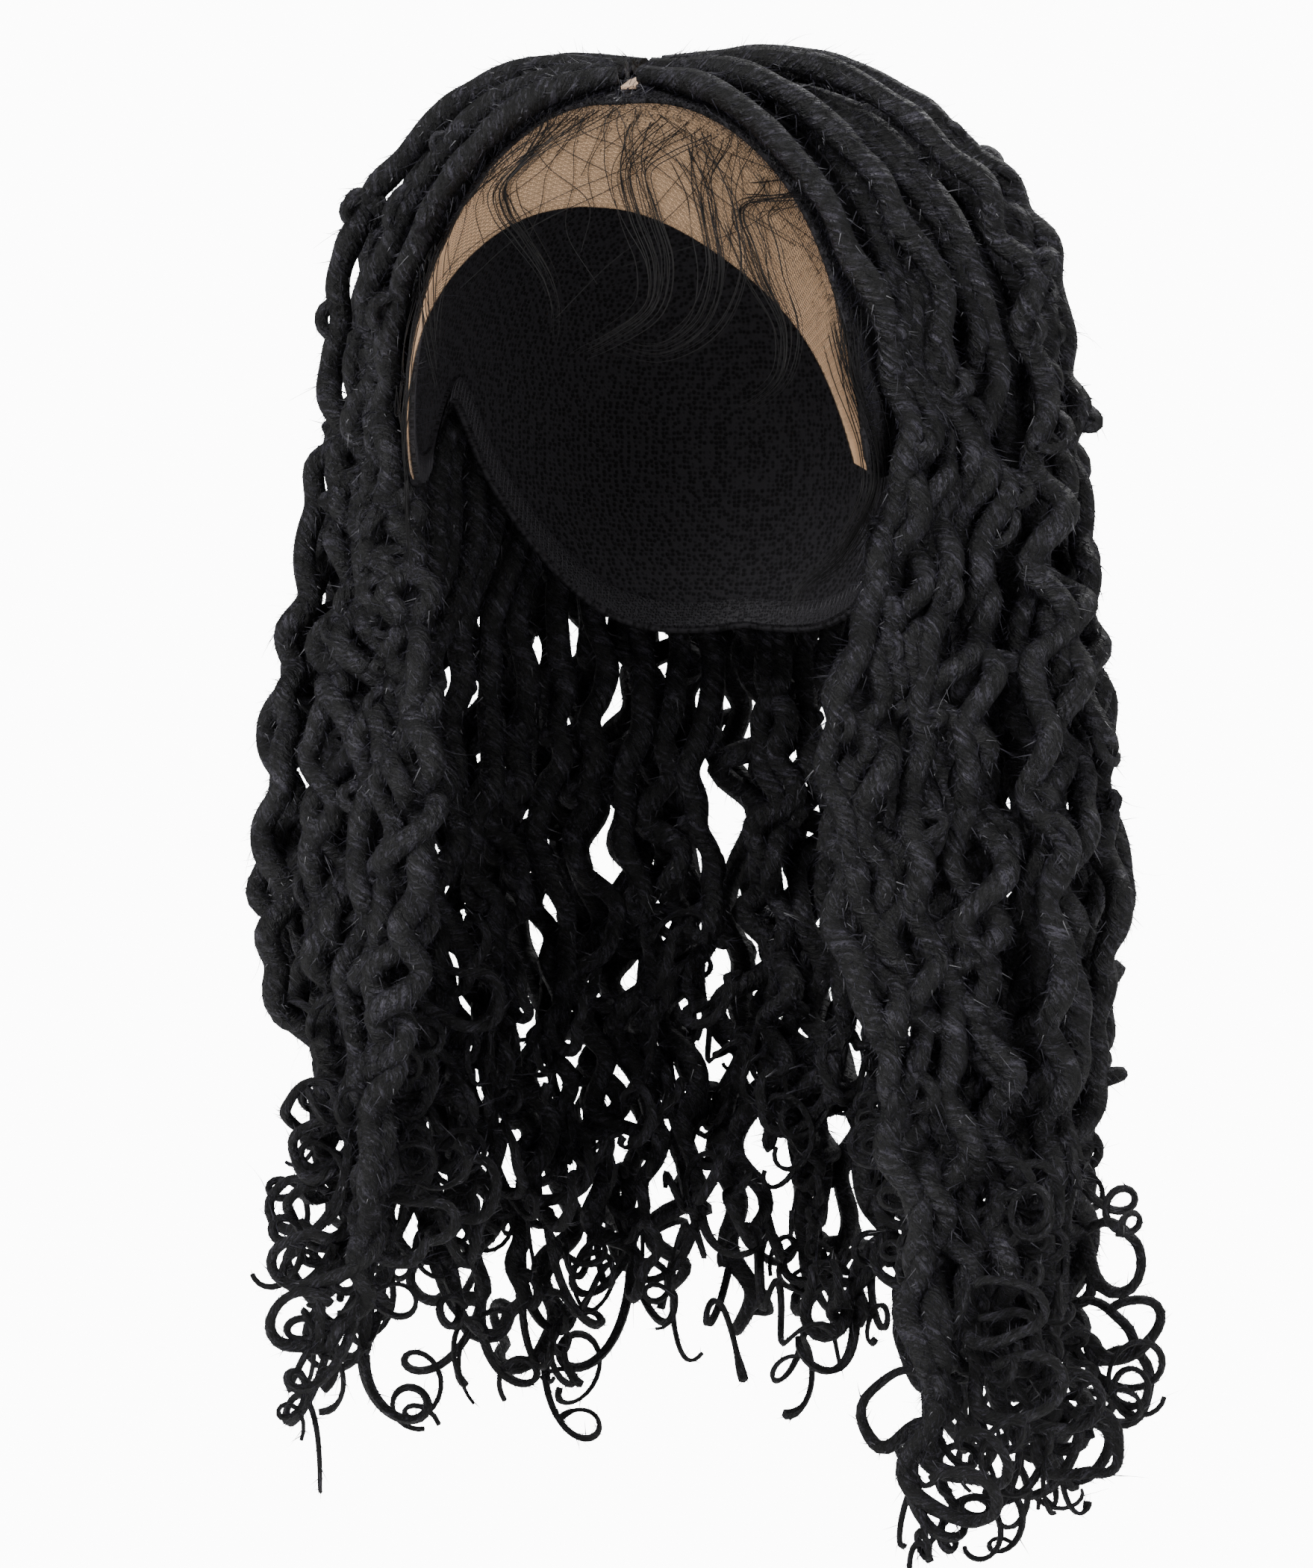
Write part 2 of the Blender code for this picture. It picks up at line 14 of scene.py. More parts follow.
import bpy
import numpy as np
from bpy.types import Material, Node, NodeSocket, NodeTree, Object
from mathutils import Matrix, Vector


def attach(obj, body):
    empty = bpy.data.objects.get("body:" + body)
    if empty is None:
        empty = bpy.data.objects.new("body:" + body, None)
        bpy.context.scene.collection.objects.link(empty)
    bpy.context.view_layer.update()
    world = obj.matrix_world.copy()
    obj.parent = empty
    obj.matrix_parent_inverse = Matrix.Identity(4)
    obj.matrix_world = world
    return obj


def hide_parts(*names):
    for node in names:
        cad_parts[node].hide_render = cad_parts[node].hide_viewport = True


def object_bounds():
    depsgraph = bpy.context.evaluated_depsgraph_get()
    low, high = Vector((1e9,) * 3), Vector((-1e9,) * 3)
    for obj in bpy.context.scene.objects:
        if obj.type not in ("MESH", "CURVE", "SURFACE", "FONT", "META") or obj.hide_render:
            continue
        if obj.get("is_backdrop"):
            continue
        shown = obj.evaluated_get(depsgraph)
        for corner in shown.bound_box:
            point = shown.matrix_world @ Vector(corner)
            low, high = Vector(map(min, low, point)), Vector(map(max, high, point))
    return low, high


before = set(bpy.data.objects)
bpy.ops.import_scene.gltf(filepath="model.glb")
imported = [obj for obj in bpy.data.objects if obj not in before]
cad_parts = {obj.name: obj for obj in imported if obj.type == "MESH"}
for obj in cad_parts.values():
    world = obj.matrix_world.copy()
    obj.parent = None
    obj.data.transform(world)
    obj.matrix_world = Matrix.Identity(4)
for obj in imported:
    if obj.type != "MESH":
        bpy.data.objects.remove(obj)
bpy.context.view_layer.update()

Amount = Union[float, np.ndarray]
Feed = Union[NodeSocket, float, tuple]
Key = Union[int, str]
Span = tuple[float, float]
Draw = np.random.Generator

LOG = logging.getLogger("wig")
BODY = "root"
PHOTO_HEIGHT = 2100
# Distance from the eye to the picture plane, in pixels of the photo.
CAMERA_PIXELS = 6960.0
TURN = 2 * math.pi
# Range of a random phase, in radians.
PHASES = (0.0, 6.28)
# Factors for a point's coordinates: its place on the plan, and its image on the other side.
LEVEL = np.array([1.0, 1.0, 0.0])
MIRROR = np.array([-1.0, 1.0, 1.0])


class Slot(Enum):
    """Material slots of the record."""

    HAIR = "hair"
    CAP = "cap_net"
    LACE = "lace"


class Side(Enum):
    """The wearer's two sides, by the sign of X."""

    LEFT = 1
    RIGHT = -1


def smoothstep(start: float, end: float, value: np.ndarray) -> np.ndarray:
    """Ease from 0 at start to 1 at end."""
    share = np.clip((np.asarray(value, dtype=float) - start) / (end - start), 0.0, 1.0)
    return share * share * (3.0 - 2.0 * share)


def blend(first: Amount, second: Amount, share: Amount) -> Amount:
    """Mix two values or arrays."""
    return first * (1.0 - share) + second * share


def unit(vector: np.ndarray) -> np.ndarray:
    """Vectors of length one, along the last axis."""
    return vector / np.linalg.norm(vector, axis=-1, keepdims=True)


def arc(cosine: float) -> float:
    """Angle that has a cosine, safe against rounding."""
    return math.acos(min(max(float(cosine), -1.0), 1.0))


def slerp(first: np.ndarray, second: np.ndarray, share: float) -> np.ndarray:
    """Direction on the great circle between two directions.

    Args:
        first: Unit direction at share 0.
        second: Unit direction at share 1.
        share: Place between them.

    Returns:
        The unit direction.
    """
    angle = arc(first @ second)
    if angle < 1e-6:
        return first
    return (math.sin((1.0 - share) * angle) * first + math.sin(share * angle) * second) / math.sin(angle)


def lengths_along(points: np.ndarray) -> np.ndarray:
    """Distance along a polyline to each of its points."""
    return np.concatenate([[0.0], np.cumsum(np.linalg.norm(np.diff(points, axis=0), axis=1))])


def points_at(points: np.ndarray, along: np.ndarray, wanted: Amount) -> np.ndarray:
    """Points of a polyline at given distances along it."""
    return np.stack([np.interp(wanted, along, column) for column in points.T], axis=-1)


def spline(points: Sequence[np.ndarray], spacing: float) -> np.ndarray:
    """Smooth curve through points.

    Args:
        points: Points that the curve passes through.
        spacing: Rough distance between the samples.

    Returns:
        The samples of a centripetal Catmull-Rom curve.
    """
    points = np.asarray(points, dtype=float)
    ends = np.vstack([2 * points[0] - points[1], points, 2 * points[-1] - points[-2]])
    samples = [points[:1]]
    for index in range(len(points) - 1):
        four = ends[index:index + 4]
        roots = np.sqrt(np.linalg.norm(np.diff(four, axis=0), axis=1))
        knots = np.concatenate([[0.0], np.cumsum(roots)])
        steps = max(1, round(float(np.linalg.norm(four[2] - four[1])) / spacing))
        at = blend(knots[1], knots[2], np.arange(1, steps + 1) / steps)[:, None]

        def between(first: np.ndarray, second: np.ndarray, left: int, right: int) -> np.ndarray:
            """Mix two points, or rows of them, by the place between two knots."""
            return blend(first, second, (at - knots[left]) / (knots[right] - knots[left]))

        low = [between(four[k], four[k + 1], k, k + 1) for k in range(3)]
        mid = [between(low[k], low[k + 1], k, k + 2) for k in range(2)]
        samples.append(between(mid[0], mid[1], 1, 2))
    return np.vstack(samples)


@dataclass(frozen=True)
class HeadForm:
    """The rounded head that the wig fits, with its crown at the origin."""

    width: float = 0.152
    depth: float = 0.196
    crown: float = 0.105

    @property
    def axes(self) -> np.ndarray:
        """Half sizes along X, Y and Z."""
        return np.array([self.width / 2, self.depth / 2, self.crown])

    def direction(self, azimuth: float, polar: float) -> np.ndarray:
        """Unit direction of a place given in radians.

        Args:
            azimuth: 0 at the face, growing towards the wearer's left.
            polar: Angle down from the crown.

        Returns:
            The direction.
        """
        return np.array([
            math.sin(polar) * math.sin(azimuth),
            -math.sin(polar) * math.cos(azimuth),
            math.cos(polar),
        ])

    def place(self, azimuth: float, polar: float) -> np.ndarray:
        """Unit direction of a place given in degrees."""
        return self.direction(math.radians(azimuth), math.radians(polar))

    def on_plan(self, x: float, y: float) -> np.ndarray:
        """Direction of the point above a place on the plan."""
        across, along = x / self.axes[0], y / self.axes[1]
        return np.array([across, along, math.sqrt(1.0 - across * across - along * along)])

    def normal(self, towards: np.ndarray) -> np.ndarray:
        """Outward normal of the surface in a direction."""
        return unit(towards / self.axes)

    def point(self, towards: np.ndarray, height: float) -> np.ndarray:
        """Point at a height above the surface."""
        return towards * self.axes - np.array([0.0, 0.0, self.crown]) + self.normal(towards) * height


HEAD = HeadForm()


@dataclass(frozen=True)
class CurtainRow:
    """One height of the hanging hair, in the shares that the solids use."""

    drop: float
    front_azimuth: float
    front_reach: float
    flare: float


@dataclass(frozen=True)
class Tier:
    """Locs of one height on the cap."""

    name: str
    layer: float
    length: float
    spread: float
    curl: float


TOP = Tier("top", 2.0, 1.00, 0.16, 1.0)
MIDDLE = Tier("middle", 1.0, 0.88, 0.12, -1.0)
LOWER = Tier("lower", 0.0, 0.69, 0.10, -1.0)
UNDER_CROWN = Tier("under_crown", 1.40, 0.93, 0.22, -1.0)
UNDER_TOP = Tier("under_top", 1.72, 0.97, 0.22, 1.0)
UNDER_MIDDLE = Tier("under_middle", 0.80, 0.86, 0.20, 1.0)
UNDER_LOWER = Tier("under_lower", 0.10, 0.72, 0.16, 1.0)


@dataclass(frozen=True)
class HairShape:
    """Sizes of the hanging hair, the same as in the solids."""

    loc_diameter: float = 0.0098
    tip_diameter: float = 0.0036
    root_share: float = 0.76
    root_taper: float = 0.026
    tip_taper: float = 0.150
    drop: float = 0.328
    right_shorter: float = 0.026
    pitch_crown: float = 0.0195
    pitch_ear: float = 0.0168
    rest_lift: float = 0.0017
    left_fullness: float = 1.12
    right_fullness: float = 1.15
    back_fullness: float = 0.85
    back_from: float = 0.6
    flare: float = 0.0120
    right_tuck: float = 0.016
    wave_length: float = 0.074
    wave_sideways: float = 0.0036
    wave_outward: float = 0.0016
    curl_radius: float = 0.0100
    curl_start_radius: float = 0.0300
    curl_turn: float = math.radians(300.0)
    curl_tight_share: float = 0.25
    curl_drift: float = 0.30
    curl_swing: float = math.radians(20.0)
    curl_hang: float = 1.7
    front_azimuth: float = math.radians(76.0)
    back_azimuth: float = math.radians(172.0)
    front_depth: float = 0.30
    seat: float = 0.0018
    golden: float = 0.618034
    layer_lead: float = math.radians(9.0)
    layer_rise: float = math.radians(40.0)
    guide_step: float = math.radians(8.0)
    middle_roots: tuple[float, float] = (math.radians(45.0), math.radians(64.0))
    lower_roots: tuple[float, float] = (math.radians(78.0), math.radians(86.0))
    line_step: float = 0.002
    row_margin: float = 0.06
    tuck_rows: Span = (0.45, 0.75)
    right_start: float = 0.37
    wave_heights: Span = (0.3, 1.5)
    front_wave: float = 0.6
    rank_phase: float = 1.15
    layer_phase: float = 0.31
    outward_pace: float = 0.53
    outward_phase: float = 1.3
    swing_pace: float = 0.9
    curtain: tuple[CurtainRow, ...] = (
        CurtainRow(0.00, 76.0, 1.14, 0.00),
        CurtainRow(0.15, 68.0, 1.07, 0.45),
        CurtainRow(0.30, 60.0, 0.98, 0.85),
        CurtainRow(0.45, 61.0, 1.04, 1.00),
        CurtainRow(0.60, 67.0, 1.14, 0.60),
        CurtainRow(0.75, 71.0, 1.21, 0.30),
        CurtainRow(0.90, 71.0, 1.26, -0.10),
        CurtainRow(1.00, 70.0, 1.28, -0.60),
    )


HAIR = HairShape()


@dataclass(frozen=True)
class LocCourse:
    """Middle line of one loc: over the head from its root, down the curtain and into a curl."""

    tier: Tier
    root: np.ndarray
    rank: float
    side: Side
    number: int
    hair: HairShape = HAIR

    @property
    def depth_share(self) -> float:
        """How far the loc is into the full hair."""
        return float(smoothstep(0.0, self.hair.front_depth, self.rank))

    @property
    def fullness(self) -> float:
        """How full the hair is here.

        Returns:
            A share of the layer pitches.
        """
        hair = self.hair
        across = hair.left_fullness if self.side is Side.LEFT else hair.right_fullness
        return float(blend(across, hair.back_fullness, smoothstep(hair.back_from, 1.0, self.rank)))

    def body_radius(self, along: np.ndarray) -> np.ndarray:
        """Radius before the tip thins out."""
        hair = self.hair
        return blend(hair.root_share, 1.0, smoothstep(0.0, hair.root_taper, along)) * hair.loc_diameter / 2

    def height(self, root_polar: float, polar: float) -> float:
        """Height of the middle line over the head form.

        Args:
            root_polar: Polar angle of the root.
            polar: Polar angle of the place.

        Returns:
            The height in metres.
        """
        hair = self.hair
        pitch = blend(hair.pitch_crown, hair.pitch_ear, min(polar / (math.pi / 2), 1.0))
        shares = (min(self.tier.layer, 1.0), max(self.tier.layer - 1.0, 0.0))
        lift = 0.0
        for ends, share in zip((hair.lower_roots, hair.middle_roots), shares):
            top = blend(ends[0], ends[1], self.rank) - hair.layer_lead
            start = max(root_polar, top - hair.layer_rise)
            rise = smoothstep(start, max(top, start + hair.guide_step), polar)
            lift += share * pitch * float(rise)
        lift *= self.fullness * self.depth_share
        lift += hair.rest_lift * float(smoothstep(root_polar, root_polar + hair.layer_lead, polar))
        return hair.seat + float(self.body_radius((polar - root_polar) * HEAD.crown)) + lift

    def curtain_point(self, row: CurtainRow) -> np.ndarray:
        """Point at one height of the curtain, on the wearer's left.

        Args:
            row: Height of the curtain.

        Returns:
            The point.
        """
        hair = self.hair
        azimuth = blend(math.radians(row.front_azimuth), hair.back_azimuth, self.rank)
        half_width, half_depth, _ = HEAD.axes
        head_reach = 1.0 / math.hypot(math.sin(azimuth) / half_width, math.cos(azimuth) / half_depth)
        swell = (hair.pitch_ear * self.tier.layer + row.flare * hair.flare) * self.fullness
        full_reach = head_reach + hair.seat + hair.loc_diameter / 2 + hair.rest_lift + swell
        if self.side is Side.RIGHT:
            full_reach -= hair.right_tuck * float(smoothstep(*hair.tuck_rows, row.drop))
        reach = blend(row.front_reach * half_width, full_reach, self.depth_share)
        return np.array([
            reach * math.sin(azimuth),
            -reach * math.cos(azimuth),
            -HEAD.crown - row.drop * hair.drop,
        ])

    def tip_drop(self) -> float:
        """How far down the loc reaches before its curl.

        Returns:
            A share of the drop.
        """
        hair = self.hair
        start = hair.right_start if self.side is Side.RIGHT else 0.0
        uneven = (self.number * hair.golden + start) % 1.0
        share = self.tier.length - self.tier.spread * uneven
        if self.side is Side.RIGHT:
            share -= hair.right_shorter / hair.drop
        return share - hair.curl_hang * hair.curl_radius / hair.drop

    def row_at(self, drop: float) -> CurtainRow:
        """Row of the curtain at any height.

        Args:
            drop: Share of the drop.

        Returns:
            A row mixed from the two round it.
        """
        rows = self.hair.curtain
        lower = next((row for row in rows if row.drop >= drop - self.hair.row_margin), rows[-1])
        upper = rows[rows.index(lower) - 1]
        share = (drop - upper.drop) / (lower.drop - upper.drop)
        names = ("drop", "front_azimuth", "front_reach", "flare")
        return CurtainRow(*(blend(getattr(upper, name), getattr(lower, name), share) for name in names))

    def guides(self) -> list[np.ndarray]:
        """Points that steer the line, on the wearer's left.

        Returns:
            Points from root to tip.
        """
        hair = self.hair
        root_polar = arc(self.root[2])
        ear = HEAD.direction(blend(hair.front_azimuth, hair.back_azimuth, self.rank), math.pi / 2)
        angle = arc(self.root @ ear)
        steps = max(2, round(angle / hair.guide_step))
        points = []
        for step in range(steps):
            towards = slerp(self.root, ear, step / steps)
            points.append(HEAD.point(towards, self.height(root_polar, arc(towards[2]))))
        drop = self.tip_drop()
        rows = [row for row in hair.curtain if row.drop < drop - hair.row_margin]
        points += [self.curtain_point(row) for row in (*rows, self.row_at(drop))]
        return points

    def wave(self, points: np.ndarray) -> np.ndarray:
        """Give the line its sideways and in-and-out waves.

        Args:
            points: Smooth line.

        Returns:
            The waved line.
        """
        hair = self.hair
        strength = smoothstep(*hair.wave_heights, -points[:, 2] / HEAD.crown)
        strength = strength * blend(hair.front_wave, 1.0, self.depth_share)
        outward = unit(points * LEVEL)
        sideways = np.stack([-outward[:, 1], outward[:, 0], np.zeros(len(points))], axis=1)
        phase = TURN * (hair.rank_phase * self.rank + hair.layer_phase * self.tier.layer)
        turn = TURN * lengths_along(points) / hair.wave_length + phase
        waved = points + sideways * (hair.wave_sideways * strength * np.sin(turn))[:, None]
        slow = np.sin(hair.outward_pace * turn + hair.outward_phase)
        return waved + outward * (hair.wave_outward * strength * slow)[:, None]

    def curl(self, points: np.ndarray) -> np.ndarray:
        """Add the curl at the tip.

        Args:
            points: Waved line.

        Returns:
            The line with its curl.
        """
        hair = self.hair
        heading = unit(points[-1] - points[-3])
        outward = unit(points[-1] * LEVEL)
        swing = hair.curl_swing * math.sin(self.number * hair.swing_pace)
        sideways = np.array([-outward[1], outward[0], 0.0])
        toward = (outward * math.cos(swing) + sideways * math.sin(swing)) * self.tier.curl
        toward = unit(toward - heading * (toward @ heading))
        axis = np.cross(heading, toward)
        angle = 0.0
        curled = list(points)
        while angle < hair.curl_turn:
            share = angle / hair.curl_turn
            tightness = min(share / hair.curl_tight_share, 1.0)
            angle += hair.line_step / blend(hair.curl_start_radius, hair.curl_radius, tightness)
            step = heading * math.cos(angle) + toward * math.sin(angle) + axis * hair.curl_drift * share
            curled.append(curled[-1] + step * hair.line_step)
        return np.array(curled)

    def line(self) -> np.ndarray:
        """Fine middle line from root to tip, on its own side."""
        points = self.curl(self.wave(spline(self.guides(), self.hair.line_step)))
        return points * np.array([self.side.value, 1.0, 1.0])

    def radii(self, line: np.ndarray) -> np.ndarray:
        """Radius along the line.

        Args:
            line: Points of the line.

        Returns:
            A radius for each point.
        """
        along = lengths_along(line)
        tip = smoothstep(along[-1] - self.hair.tip_taper, along[-1], along)
        return blend(self.body_radius(along), self.hair.tip_diameter / 2, tip)


class Graph:
    """A node tree that is filled by calls, each of which adds a node and sets its inputs."""

    def __init__(self, tree: NodeTree) -> None:
        """Start on a tree, which may have nodes already."""
        self.tree = tree

    @staticmethod
    def pick(sockets: Sequence[NodeSocket], key: Key) -> NodeSocket:
        """Find a socket, leaving out the hidden ones.

        Args:
            sockets: Sockets of a node.
            key: Its place or its name.

        Returns:
            The socket.
        """
        if isinstance(key, int):
            return sockets[key]
        return next(socket for socket in sockets if socket.name == key and socket.enabled)

    def add(self, kind: str, settings: Optional[dict] = None,
            inputs: Optional[dict] = None) -> Node:
        """Add a node.

        Args:
            kind: Blender's name of the node.
            settings: Properties to set on it.
            inputs: Values or sockets to give its inputs, by name or place.

        Returns:
            The new node.
        """
        node = self.tree.nodes.new(kind)
        for name, value in (settings or {}).items():
            setattr(node, name, value)
        for key, value in (inputs or {}).items():
            socket = self.pick(node.inputs, key)
            if isinstance(value, NodeSocket):
                self.tree.links.new(value, socket)
            else:
                socket.default_value = value
        return node

    def out(self, kind: str, settings: Optional[dict] = None, inputs: Optional[dict] = None,
            key: Key = 0) -> NodeSocket:
        """Add a node and return one of its outputs."""
        return self.pick(self.add(kind, settings, inputs).outputs, key)

    def math(self, operation: str, *values: Feed) -> NodeSocket:
        """Result of a sum on numbers."""
        return self.out("ShaderNodeMath", {"operation": operation}, dict(enumerate(values)))

    def vector(self, operation: str, *values: Feed) -> NodeSocket:
        """Result of a sum on vectors."""
        return self.out("ShaderNodeVectorMath", {"operation": operation}, dict(enumerate(values)))

    def scaled(self, vector: Feed, factor: Feed) -> NodeSocket:
        """A vector times a number."""
        return self.out("ShaderNodeVectorMath", {"operation": "SCALE"}, {0: vector, 3: factor})

    def link(self, source: NodeSocket, node: Node, key: Key) -> None:
        """Lead a socket into an input of a node."""
        self.tree.links.new(source, self.pick(node.inputs, key))

    def combined(self, x: Feed = 0.0, y: Feed = 0.0, z: Feed = 0.0) -> NodeSocket:
        """A vector from its three numbers."""
        return self.out("ShaderNodeCombineXYZ", {}, {0: x, 1: y, 2: z})

    def noise(self, place: Feed, scale: float, detail: float,
              more: Optional[dict] = None) -> NodeSocket:
        """A noise of places, from about 0 to 1."""
        inputs = {"Vector": place, "Scale": scale, "Detail": detail, **(more or {})}
        return self.out("ShaderNodeTexNoise", {}, inputs, 0)

    def window(self, value: Feed, source: Span, target: Span = (0.0, 1.0)) -> NodeSocket:
        """Clamp a value to one range and lay it out over another.

        Args:
            value: The value.
            source: Range that it is clamped to.
            target: Results at the two ends.

        Returns:
            The result.
        """
        return self.out("ShaderNodeMapRange", {}, {
            "Value": value, "From Min": source[0], "From Max": source[1],
            "To Min": target[0], "To Max": target[1]}, "Result")

    def bump(self, height: Feed, strength: float, distance: float) -> NodeSocket:
        """A normal that is bent by a height."""
        return self.out("ShaderNodeBump", {}, {
            "Height": height, "Strength": strength, "Distance": distance}, "Normal")

    def attribute(self, name: str, key: str) -> NodeSocket:
        """A named attribute, in a material."""
        return self.out("ShaderNodeAttribute", {"attribute_name": name}, {}, key)

    def place(self) -> NodeSocket:
        """The place on the object, in a material."""
        return self.out("ShaderNodeTexCoord", {}, {}, "Object")

    def ring(self, sides: Feed, radius: Feed) -> NodeSocket:
        """A round profile for tubes."""
        inputs = {"Resolution": sides, "Radius": radius}
        return self.out("GeometryNodeCurvePrimitiveCircle", {}, inputs, "Curve")

    def joined(self, parts: Sequence[NodeSocket]) -> NodeSocket:
        """Join several geometries, in their order.

        Args:
            parts: The geometries.

        Returns:
            The joined one.
        """
        join = self.add("GeometryNodeJoinGeometry")
        for part in parts:
            self.link(part, join, 0)
        return join.outputs[0]

    def realized(self, geometry: Feed) -> NodeSocket:
        """Instances as plain mesh."""
        return self.out("GeometryNodeRealizeInstances", {}, {"Geometry": geometry})

    def dressed(self, geometry: Feed, finish: Feed) -> NodeSocket:
        """A geometry with a material."""
        return self.out("GeometryNodeSetMaterial", {}, {"Geometry": geometry, "Material": finish})

    def named(self, name: str, kind: str = "FLOAT") -> NodeSocket:
        """A named attribute, in Geometry Nodes."""
        return self.out("GeometryNodeInputNamedAttribute", {"data_type": kind}, {"Name": name}, "Attribute")

    def store(self, geometry: Feed, name: str, kind: str, value: Feed) -> NodeSocket:
        """Keep a value on the points of a geometry.

        Args:
            geometry: Geometry to keep it on.
            name: Name of the attribute.
            kind: Blender's name of its data type.
            value: Value or field to keep.

        Returns:
            The geometry with the attribute.
        """
        settings = {"data_type": kind, "domain": "POINT"}
        return self.out("GeometryNodeStoreNamedAttribute", settings,
                        {"Geometry": geometry, "Name": name, "Value": value})

    def random(self, low: float, high: float, seed: Feed) -> NodeSocket:
        """A random number for each element."""
        return self.out("FunctionNodeRandomValue", {"data_type": "FLOAT"},
                        {"Min": low, "Max": high, "Seed": seed}, "Value")


@dataclass(frozen=True)
class Inlet:
    """A named input of a Geometry Nodes tree."""

    name: str
    kind: str
    default: object = None


def geometry_graph(name: str, inlets: Sequence[Inlet]) -> tuple[Graph, dict]:
    """Start a Geometry Nodes tree.

    Args:
        name: Name of the tree.
        inlets: Inputs after the geometry.

    Returns:
        The graph, and its input sockets by name.
    """
    tree = bpy.data.node_groups.new(name, "GeometryNodeTree")
    tree.interface.new_socket("Geometry", in_out="INPUT", socket_type="NodeSocketGeometry")
    for inlet in inlets:
        socket = tree.interface.new_socket(inlet.name, in_out="INPUT", socket_type=inlet.kind)
        if inlet.default is not None:
            socket.default_value = inlet.default
    tree.interface.new_socket("Geometry", in_out="OUTPUT", socket_type="NodeSocketGeometry")
    graph = Graph(tree)
    node = graph.add("NodeGroupInput")
    return graph, {socket.name: socket for socket in node.outputs if socket.name}


def close_graph(graph: Graph, geometry: Feed, finish: Feed) -> NodeTree:
    """End a tree in Realize Instances and Set Material.

    Args:
        graph: Graph of the tree.
        geometry: Result so far.
        finish: Material input.

    Returns:
        The tree.
    """
    graph.add("NodeGroupOutput", {}, {0: graph.dressed(graph.realized(geometry), finish)})
    return graph.tree


def grow(piece: Object, tree: NodeTree, values: dict) -> Object:
    """Run a tree on a piece and keep the result as its plain mesh.

    Args:
        piece: Object whose mesh the tree starts from.
        tree: Geometry Nodes tree.
        values: Values of the tree's inputs, by name.

    Returns:
        The same object.
    """
    modifier = piece.modifiers.new("grow", "NODES")
    modifier.node_group = tree
    for item in tree.interface.items_tree:
        if item.in_out == "INPUT" and item.name in values:
            modifier[item.identifier] = values[item.name]
    piece.update_tag()
    graph = bpy.context.evaluated_depsgraph_get()
    mesh = bpy.data.meshes.new_from_object(piece.evaluated_get(graph), depsgraph=graph)
    piece.modifiers.remove(modifier)
    old = piece.data
    piece.data = mesh
    bpy.data.meshes.remove(old)
    mesh.name = piece.name
    return piece


def mesh_object(name: str, points: np.ndarray, edges: Sequence, faces: Sequence) -> Object:
    """Put a mesh in the scene.

    Args:
        name: Name of the object and its mesh.
        points: Places of the vertices.
        edges: Pairs of vertices.
        faces: Rings of vertices.

    Returns:
        The object, at the origin.
    """
    mesh = bpy.data.meshes.new(name)
    mesh.from_pydata([tuple(point) for point in points], edges, faces)
    piece = bpy.data.objects.new(name, mesh)
    bpy.context.scene.collection.objects.link(piece)
    return piece


def keep_vectors(piece: Object, name: str, vectors: Sequence) -> None:
    """Keep a vector for each vertex as an attribute."""
    layer = piece.data.attributes.new(name, "FLOAT_VECTOR", "POINT")
    layer.data.foreach_set("vector", np.asarray(vectors, dtype=np.float32).ravel())


@dataclass
class StrandSet:
    """Lines with a radius at each point, as the start of a piece of hair."""

    points: list = field(default_factory=list)
    radii: list = field(default_factory=list)
    thin: list = field(default_factory=list)
    edges: list = field(default_factory=list)

    def add(self, line: np.ndarray, radii: np.ndarray, thin: bool) -> None:
        """Add one line.

        Args:
            line: Points of the line.
            radii: One radius, or one for each point.
            thin: Whether it is a thin strand, with fewer sides.
        """
        start = sum(len(part) for part in self.points)
        count = len(line)
        self.points.append(line)
        self.radii.append(np.broadcast_to(radii, count))
        self.thin.append(np.full(count, float(thin)))
        self.edges += [(start + k, start + k + 1) for k in range(count - 1)]

    def object(self, name: str) -> Object:
        """Make the lines one mesh of edges that holds radius and thin.

        Args:
            name: Name of the piece.

        Returns:
            The object.
        """
        piece = mesh_object(name, np.vstack(self.points), self.edges, [])
        for attribute, parts in (("radius", self.radii), ("thin", self.thin)):
            layer = piece.data.attributes.new(attribute, "FLOAT", "POINT")
            layer.data.foreach_set("value", np.concatenate(parts).astype(np.float32))
        return piece


